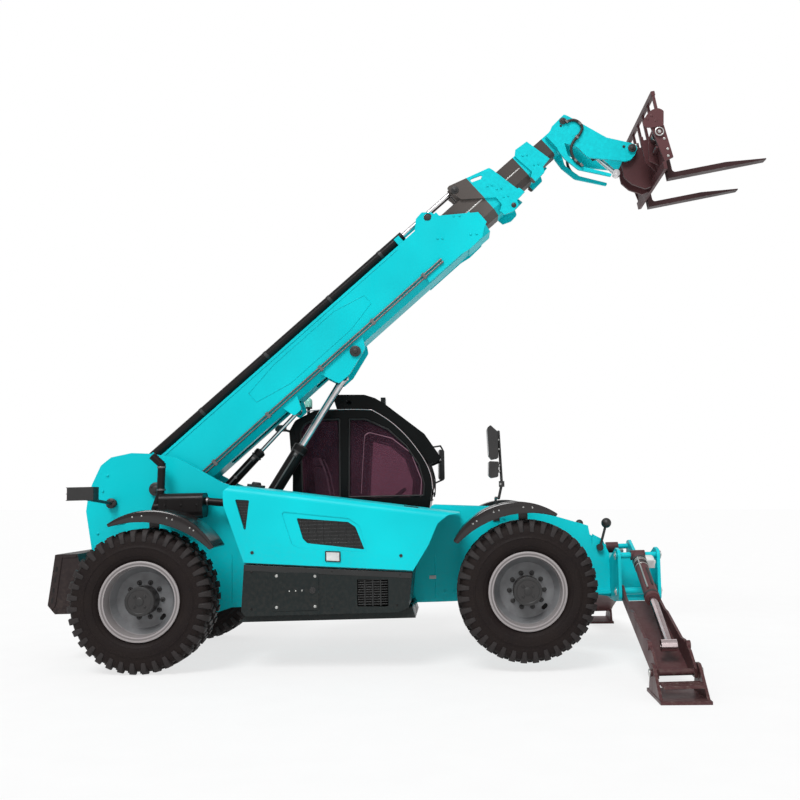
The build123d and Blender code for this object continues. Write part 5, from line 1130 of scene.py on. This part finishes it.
def dress_cylinder(name, side, radius, length, rod_radius, pipe_side=-1):
    """Gland with its locking ring, base weld, port blocks and a steel pipe along the barrel."""
    body = name + "_barrel"
    fittings = Piece(name + "_fittings", body, black_plastic, "dark_paint")
    out = side.along
    fittings.lathe(side.at(length - 58, 0, 0), out,
                   [(-14, radius), (-8, radius + 8), (0, radius + 8.5), (4, radius + 6)], 40)
    fittings.lathe(side.at(length, 0, 0), out,
                   [(-2, radius - 2), (6, radius - 3), (8, rod_radius + 8), (14, rod_radius + 7),
                    (15, rod_radius + 1)], 40)
    fittings.lathe(side.at(radius * 1.3, 0, 0), out, [(-8, radius), (0, radius + 4), (8, radius)],
                   40)
    for x in (radius * 1.9, length - 90):
        fittings.box(side, x - 24, x + 24, pipe_side * (radius - 8), pipe_side * (radius + 22),
                     -20, 20)
    fittings.done(rounding=1.2)
    pipe = Piece(name + "_pipe", body, pipe_steel, "chrome")
    level = pipe_side * (radius + 13)
    pipe.tube([side.at(radius * 1.9 + 20, level, 0), side.at(length - 110, level, 0)], 8, 12)
    for share in (0.35, 0.65):
        x = length * share
        pipe.box(side, x - 9, x + 9, pipe_side * (radius - 2), pipe_side * (radius + 24), -14, 14)
    pipe.bolt(side.at(length - 90, pipe_side * (radius + 22), 0), ACROSS * pipe_side, 11, 9)
    pipe.bolt(side.at(radius * 1.9, pipe_side * (radius + 22), 0), ACROSS * pipe_side, 11, 9)
    pipe.done(rounding=0.6)


def build_cylinders():
    dress_cylinder("lift", LIFT, 64, 1690, 37)
    dress_cylinder("level", LEVEL, 44, 940, 19)
    dress_cylinder("tilt", TILT, 46, 455, 24)
    band = Piece("extension_bands", "boom_base", black_plastic, "dark_paint")
    for s in (700, 1500, 2300, 2950):
        band.lathe(BOOM.at(s, 0, 340), BOOM.along, [(-16, 49.5), (-16, 52), (16, 52), (16, 49.5)],
                   40, hollow=True)
    band.done(rounding=0.6)
    # The rod's length that shows only once the boom runs out
    tail = Piece("extension_rod_tail", "boom_second", chrome, "chrome")
    tail.lathe(BOOM.at(ROD_TAIL, 0, 340), BOOM.along, [(0, 27.8), (2980 - ROD_TAIL, 27.8)], 48)
    tail.done()


def leg_side(side):
    """Frame of one stabiliser: along its cylinder, across it, and forward, from its base pin."""
    base = CHASSIS.at(LEG_X, side * LEG_PIN[0], LEG_PIN[1])
    eye = CHASSIS.at(LEG_X, side * LEG_EYE[0], LEG_EYE[1])
    along = (eye - base).normalized()
    return base, along, CHASSIS.along, along.cross(CHASSIS.along) * -side


def build_stabilisers():
    """Rings, valve, pins, bolts and gussets of both stabilisers."""
    for side in (-1, 1):
        tag = "right" if side < 0 else "left"
        base, along, forward, up = leg_side(side)
        barrel = Piece("leg_fittings_" + tag, "leg_barrel_" + tag, black_plastic, "dark_paint")
        for start, radius in ((90, 60), (170, 60), (640, 64)):
            barrel.lathe(base + along * (start * MM), along,
                         [(0, 53), (0, radius - 3), (4, radius), (26, radius), (30, radius - 3),
                          (30, 53)], 36, hollow=True)
        barrel.tube([base + along * 0.30 + up * 0.05 + forward * 0.02,
                     base + along * 0.56 + up * 0.05 + forward * 0.02], 10, 12)
        barrel.done(rounding=1.0)
        valve = Piece("leg_valve_" + tag, "leg_barrel_" + tag, plate_white, "grey_paint")
        rings = []
        for reach in (0.075, 0.165):
            spot = base + along * reach
            rings.append([spot + forward * out + up * high for out, high in
                          ((0.050, -0.036), (0.124, -0.036), (0.124, 0.030), (0.104, 0.044),
                           (0.050, 0.044))])
        valve.loft(rings)
        valve.lathe(base + along * 0.12 + forward * 0.122, forward, [(0, 20), (10, 20), (14, 14)],
                    6)
        valve.done(rounding=4)
        silver = Piece("leg_bands_" + tag, "leg_barrel_" + tag, zinc, "chrome")
        for start in (128, 150, 214):
            silver.lathe(base + along * (start * MM), along,
                         [(0, 57), (0, 60), (11, 60), (11, 57)], 36, hollow=True)
        silver.tube([base + along * 0.15 + up * 0.068 - forward * 0.03,
                     base + along * 0.62 + up * 0.068 - forward * 0.03], 7, 12)
        silver.done(rounding=0.6)
        pins = Piece("leg_pins_" + tag, "chassis", zinc, "chrome")
        front_x = LEG_X + LEG_HALF + 48
        for y, z in ((700, 525), LEG_PIN):
            pins.lathe(CHASSIS.at(front_x, side * y, z), CHASSIS.along,
                       [(-2, 36), (4, 36), (6, 30), (6, 14), (12, 14), (14, 9)], 32)
            pins.lathe(CHASSIS.at(LEG_X - LEG_HALF - 46, side * y, z), CHASSIS.along * -1,
                       [(-2, 36), (4, 36), (6, 30), (6, 14), (12, 14), (14, 9)], 32)
        pins.done(rounding=0.6)
        bolts = Piece("carrier_bolts_" + tag, "chassis", zinc, "chrome")
        for y in (250, 400, 560):
            for z in (600, 700):
                bolts.bolt(CHASSIS.at(LEG_X + LEG_HALF + 36, side * y, z), CHASSIS.along, 12, 9)
        bolts.done(rounding=0.6)
        foot = Piece("foot_gussets_" + tag, "foot_" + tag, brown_paint, "brown_paint")
        for x0 in (LEG_X - 178, LEG_X + 152):
            foot.across(CHASSIS, [(side * 2010, 26), (side * 2160, 26), (side * 2150, 60)],
                        x0, x0 + 26)
        for row in range(4):
            y = 2230 + row * 55
            foot.box(CHASSIS, LEG_X - LEG_HALF, LEG_X + LEG_HALF, side * y, side * (y + 12), 8, 30)
        foot.done(rounding=1.5)
        scuffs = Piece("foot_scuffs_" + tag, "foot_" + tag, zinc, "chrome")
        for x in (LEG_X - 183 - 12, LEG_X + 183 + 12):
            scuffs.lathe(CHASSIS.at(x, side * 2120, 75), CHASSIS.along * (1 if x > LEG_X else -1),
                         [(-4, 30), (3, 30), (5, 24), (5, 0)], 32)
        scuffs.done(rounding=0.6)


def build_carriage_details():
    """Bolts, lugs, webs and fork rings of the carriage."""
    bolts = Piece("carriage_bolts", "carriage", zinc, "chrome")
    for side in (-1, 1):
        for x, z in ((170, -20), (190, -120), (200, -220), (190, -285)):
            bolts.bolt(TOOL.at(x, side * 660, z), ACROSS * side, 9, 7)
        bolts.lathe(TOOL.at(157, side * 672, -50), ACROSS * side,
                    [(-2, 43), (6, 43), (9, 38), (9, 33), (3, 29), (-2, 29)], 40, hollow=True)
        bolts.bolt(TOOL.at(157, side * 674, -50), ACROSS * side, 12, 8)
        for z in (80, 110):
            bolts.bolt(TOOL.at(60, side * 108, z - 70), ACROSS * side, 10, 8)
    bolts.done(rounding=0.6)
    lug = Piece("carriage_lugs", "carriage", brown_paint, "brown_paint")
    for side in (-1, 1):
        lug.slab(TOOL, CARRIAGE_LUG, side * 663, side * 674)
        for x, z in ((75, 90), (120, 112), (150, 60)):
            lug.lathe(TOOL.at(x, side * 674, z), ACROSS * side,
                      [(-1, 15), (4, 15), (5, 11), (5, 0)], 20)
    lug.done(rounding=1.5)
    web = Piece("carriage_web", "carriage", brown_paint, "brown_paint")
    for side in (-1, 1):
        web.slab(TOOL, [(100, -30), (146, 40), (146, -300), (60, -240)], side * 440, side * 456)
        web.box(TOOL, 100, 148, side * 330, side * 640, -190, -170)
    web.box(TOOL, 110, 148, -70, 70, -120, -96)
    web.box(TOOL, 110, 148, -70, 70, -300, -276)
    web.done(rounding=2.0)
    stops = Piece("fork_stops", "carriage", zinc, "chrome")
    for side in (-1, 1):
        for y in (400, 545):
            stops.lathe(TOOL.at(157, side * y, -50), ACROSS,
                        [(-9, 40), (-9, 46), (9, 46), (9, 40)], 32, hollow=True)
    stops.done(rounding=0.8)


def build_head_pipes():
    """Steel oil pipes clamped along the boom head's sides and around its foot."""
    for side in (-1, 1):
        tag = "right" if side < 0 else "left"
        pipes = Piece("head_pipes_" + tag, "boom_fourth", hose_rubber, "plastic")
        y = side * (HEAD_HALF + 12)
        pipes.tube([BOOM.at(s, y, n) for s, n in HEAD_PIPE], 14, 12, 6)
        pipes.done(smooth=60)
        clips = Piece("head_clips_" + tag, "boom_fourth", pipe_steel, "dark_paint")
        for s, n in HEAD_CLIPS:
            clips.box(BOOM, s - 11, s + 11, side * (HEAD_HALF - 2), side * (HEAD_HALF + 28),
                      n - 17, n + 17)
        clips.done(rounding=1.5)


def build_tower_details():
    """Bolts and welds of the side plates, the exhaust's straps and rings, and a black disc as
    painted shade in its mouth.
    """
    for side in (-1, 1):
        tag = "right" if side < 0 else "left"
        outward = ACROSS * side
        y = side * CHASSIS_HALF
        bolts = Piece("tower_bolts_" + tag, "chassis", teal_paint, "teal_paint")
        for x, z in ((-640, 1120), (-655, 1010), (-560, 1640), (-600, 1500), (-250, 960),
                     (250, 960), (3030, 1170), (3330, 1120), (3700, 900), (3760, 640),
                     (2480, 520), (2560, 520)):
            bolts.bolt(CHASSIS.at(x, y, z), outward, 10, 8)
        bolts.done(rounding=0.6)
        welds = Piece("tower_welds_" + tag, "chassis", teal_paint, "teal_paint")
        welds.tube([CHASSIS.at(x, y, z) for x, z in ((560, 470), (560, 900))], 4, 8)
        welds.tube([CHASSIS.at(x, y, z) for x, z in ((2394, 470), (2394, 860))], 4, 8)
        welds.tube([CHASSIS.at(x, y, z) for x, z in ((2900, 770), (3630, 770))], 4, 8)
        welds.tube([CHASSIS.at(x, y, z) for x, z in ((-560, 1180), (-300, 1230), (100, 1220))],
                   4, 8)
        welds.done()
    strap = Piece("exhaust_straps", "chassis", black_paint, "dark_paint")
    for x in (30, 170, 310):
        strap.across(CHASSIS, [(-569, 1300), (-566, 1300), (-566, 1415), (-569, 1415)],
                     x - 12, x + 12)
        strap.bolt(CHASSIS.at(x, -568, 1358), ACROSS * -1, 8, 6)
    strap.done(rounding=0.8)
    rings = Piece("exhaust_rings", "chassis", pipe_steel, "dark_paint")
    for start, heading, radius in (
        (CHASSIS.at(-33, -455, 1500), CHASSIS.up, 36),
        (CHASSIS.at(-30, -455, 1700), CHASSIS.up, 36),
        (CHASSIS.at(380, -455, 1388), CHASSIS.along, 36),
        (CHASSIS.at(560, -455, 1369), CHASSIS.along, 36),
    ):
        rings.lathe(start, heading, [(-8, radius), (-8, radius + 3), (8, radius + 3), (8, radius)],
                    32, hollow=True)
    rings.done(rounding=0.6)
    # Black disc closing the exhaust's end: painted shade of its open inside
    mouth = Piece("exhaust_mouth_shade", "chassis", opening_shade_black, "dark_paint")
    heading = (CHASSIS.at(-113, -455, 1803) - CHASSIS.at(-28, -455, 1725)).normalized()
    mouth.lathe(CHASSIS.at(-113, -455, 1803), heading, [(-2, 30), (0.6, 30), (0.8, 0)], 32)
    mouth.done()


def build_axle_details():
    """Covers and steering cylinder of each axle."""
    for name, axle_x in (("rear", 0), ("front", WHEELBASE)):
        cover = Piece("axle_cover_" + name, "chassis", axle_iron, "iron")
        facing = -1 if axle_x == 0 else 1
        spot = CHASSIS.at(axle_x + facing * 130, 0, TYRE_RADIUS)
        cover.lathe(spot, CHASSIS.along * facing,
                    [(-4, 148), (10, 148), (14, 140), (30, 110), (38, 60), (40, 0)], 40)
        for index in range(10):
            turn = 2 * math.pi * index / 10
            out = ACROSS * math.cos(turn) + CHASSIS.up * math.sin(turn)
            cover.bolt(spot + out * 0.132 + CHASSIS.along * (facing * 0.012),
                       CHASSIS.along * facing, 8, 7)
        for side in (-1, 1):
            cover.lathe(CHASSIS.at(axle_x, side * 690, TYRE_RADIUS), ACROSS * side,
                        [(-14, 88), (-10, 104), (8, 104), (12, 88)], 40)
            cover.lathe(CHASSIS.at(axle_x, side * 200, TYRE_RADIUS), ACROSS * side,
                        [(-6, 145), (40, 120), (150, 90), (152, 60)], 40)
        steer_x = axle_x + facing * 190
        # Steering cylinder across the axle, with a rod at each end
        cover.lathe(CHASSIS.at(steer_x, -330, TYRE_RADIUS), ACROSS,
                    [(0, 30), (4, 44), (60, 44), (64, 38), (596, 38), (600, 44), (656, 44),
                     (660, 30)], 32)
        for y in (-120, 120):
            cover.box(CHASSIS, min(axle_x + facing * 100, steer_x), max(axle_x + facing * 100,
                      steer_x), y - 14, y + 14, TYRE_RADIUS - 24, TYRE_RADIUS + 24)
        cover.done(rounding=1.5)


def build_stage():
    """Pale floor that keeps the shadow and looks white to the camera, gloss and glass."""
    bpy.ops.mesh.primitive_plane_add(size=160.0, location=(0, 0, 0))
    floor = bpy.context.object
    floor.name = "floor"
    shade = Shade("floor_white")
    fine = shade.noise(3.0, 2.0)
    tone = shade.mix(shade.band(fine, 0.3, 0.7), rgba(0.86, 0.86, 0.86), rgba(0.90, 0.90, 0.90))
    shade.finish(tone, 0.9)
    glow = shade.add("ShaderNodeEmission")
    glow.inputs["Color"].default_value = rgba(1, 1, 1)
    ray = shade.add("ShaderNodeLightPath")
    seen = shade.math("ADD", ray.outputs["Is Camera Ray"], ray.outputs["Is Glossy Ray"], True)
    seen = shade.math("ADD", seen, ray.outputs["Is Transmission Ray"], True)
    blend = shade.add("ShaderNodeMixShader")
    shade.link(shade.math("MULTIPLY", seen, FLOOR_GLOW), blend.inputs["Fac"])
    shade.link(shade.surface.outputs["BSDF"], blend.inputs[1])
    shade.link(glow.outputs["Emission"], blend.inputs[2])
    shade.link(blend.outputs["Shader"], shade.output.inputs["Surface"])
    floor.data.materials.append(shade.material)


def build_light():
    """Even white sky that the camera and glass see as white, and three soft suns."""
    world = bpy.data.worlds.new("studio")
    bpy.context.scene.world = world
    world.use_nodes = True
    tree = world.node_tree
    background = tree.nodes["Background"]
    background.inputs["Color"].default_value = rgba(1, 1, 1)
    ray = tree.nodes.new("ShaderNodeLightPath")
    first = tree.nodes.new("ShaderNodeMath")
    first.operation = "ADD"
    first.use_clamp = True
    tree.links.new(ray.outputs["Is Camera Ray"], first.inputs[0])
    tree.links.new(ray.outputs["Is Transmission Ray"], first.inputs[1])
    level = tree.nodes.new("ShaderNodeMapRange")
    tree.links.new(first.outputs[0], level.inputs["Value"])
    level.inputs["To Min"].default_value = SKY_LEVEL
    level.inputs["To Max"].default_value = 1.0
    tree.links.new(level.outputs["Result"], background.inputs["Strength"])
    for name, aim, strength, spread in (
        ("key", (0.25, 0.75, -0.85), SUN_LEVEL, 25),
        ("fill", (-0.45, 0.85, -0.25), FILL_LEVEL, 60),
        ("back", (0.3, -0.8, -0.6), FILL_LEVEL, 60),
    ):
        data = bpy.data.lights.new(name, "SUN")
        data.energy = strength
        data.angle = math.radians(spread)
        lamp = bpy.data.objects.new(name, data)
        lamp.rotation_euler = Vector(aim).to_track_quat("-Z", "Y").to_euler()
        bpy.context.scene.collection.objects.link(lamp)


def build_camera():
    """Camera at the photograph's viewing angle."""
    data = bpy.data.cameras.new("camera")
    data.sensor_width = CAMERA_SENSOR
    data.lens = CAMERA_LENS
    data.shift_x = CAMERA_SHIFT
    camera = bpy.data.objects.new("camera", data)
    camera.location = CAMERA_SPOT
    camera.rotation_euler = [math.radians(turn) for turn in CAMERA_TURN]
    bpy.context.scene.collection.objects.link(camera)
    bpy.context.scene.camera = camera
    bpy.context.scene.view_settings.view_transform = "Standard"


build_camera()
dress_nodes()
build_wheels()
build_guards()
build_boom_fasteners()
build_boom_seams()
build_hood_details()
build_tray_details()
build_cab_details()
build_weight_details()
build_seat()
build_lamps()
build_cylinders()
build_stabilisers()
build_carriage_details()
build_head_pipes()
build_tower_details()
build_axle_details()
build_stage()
build_light()
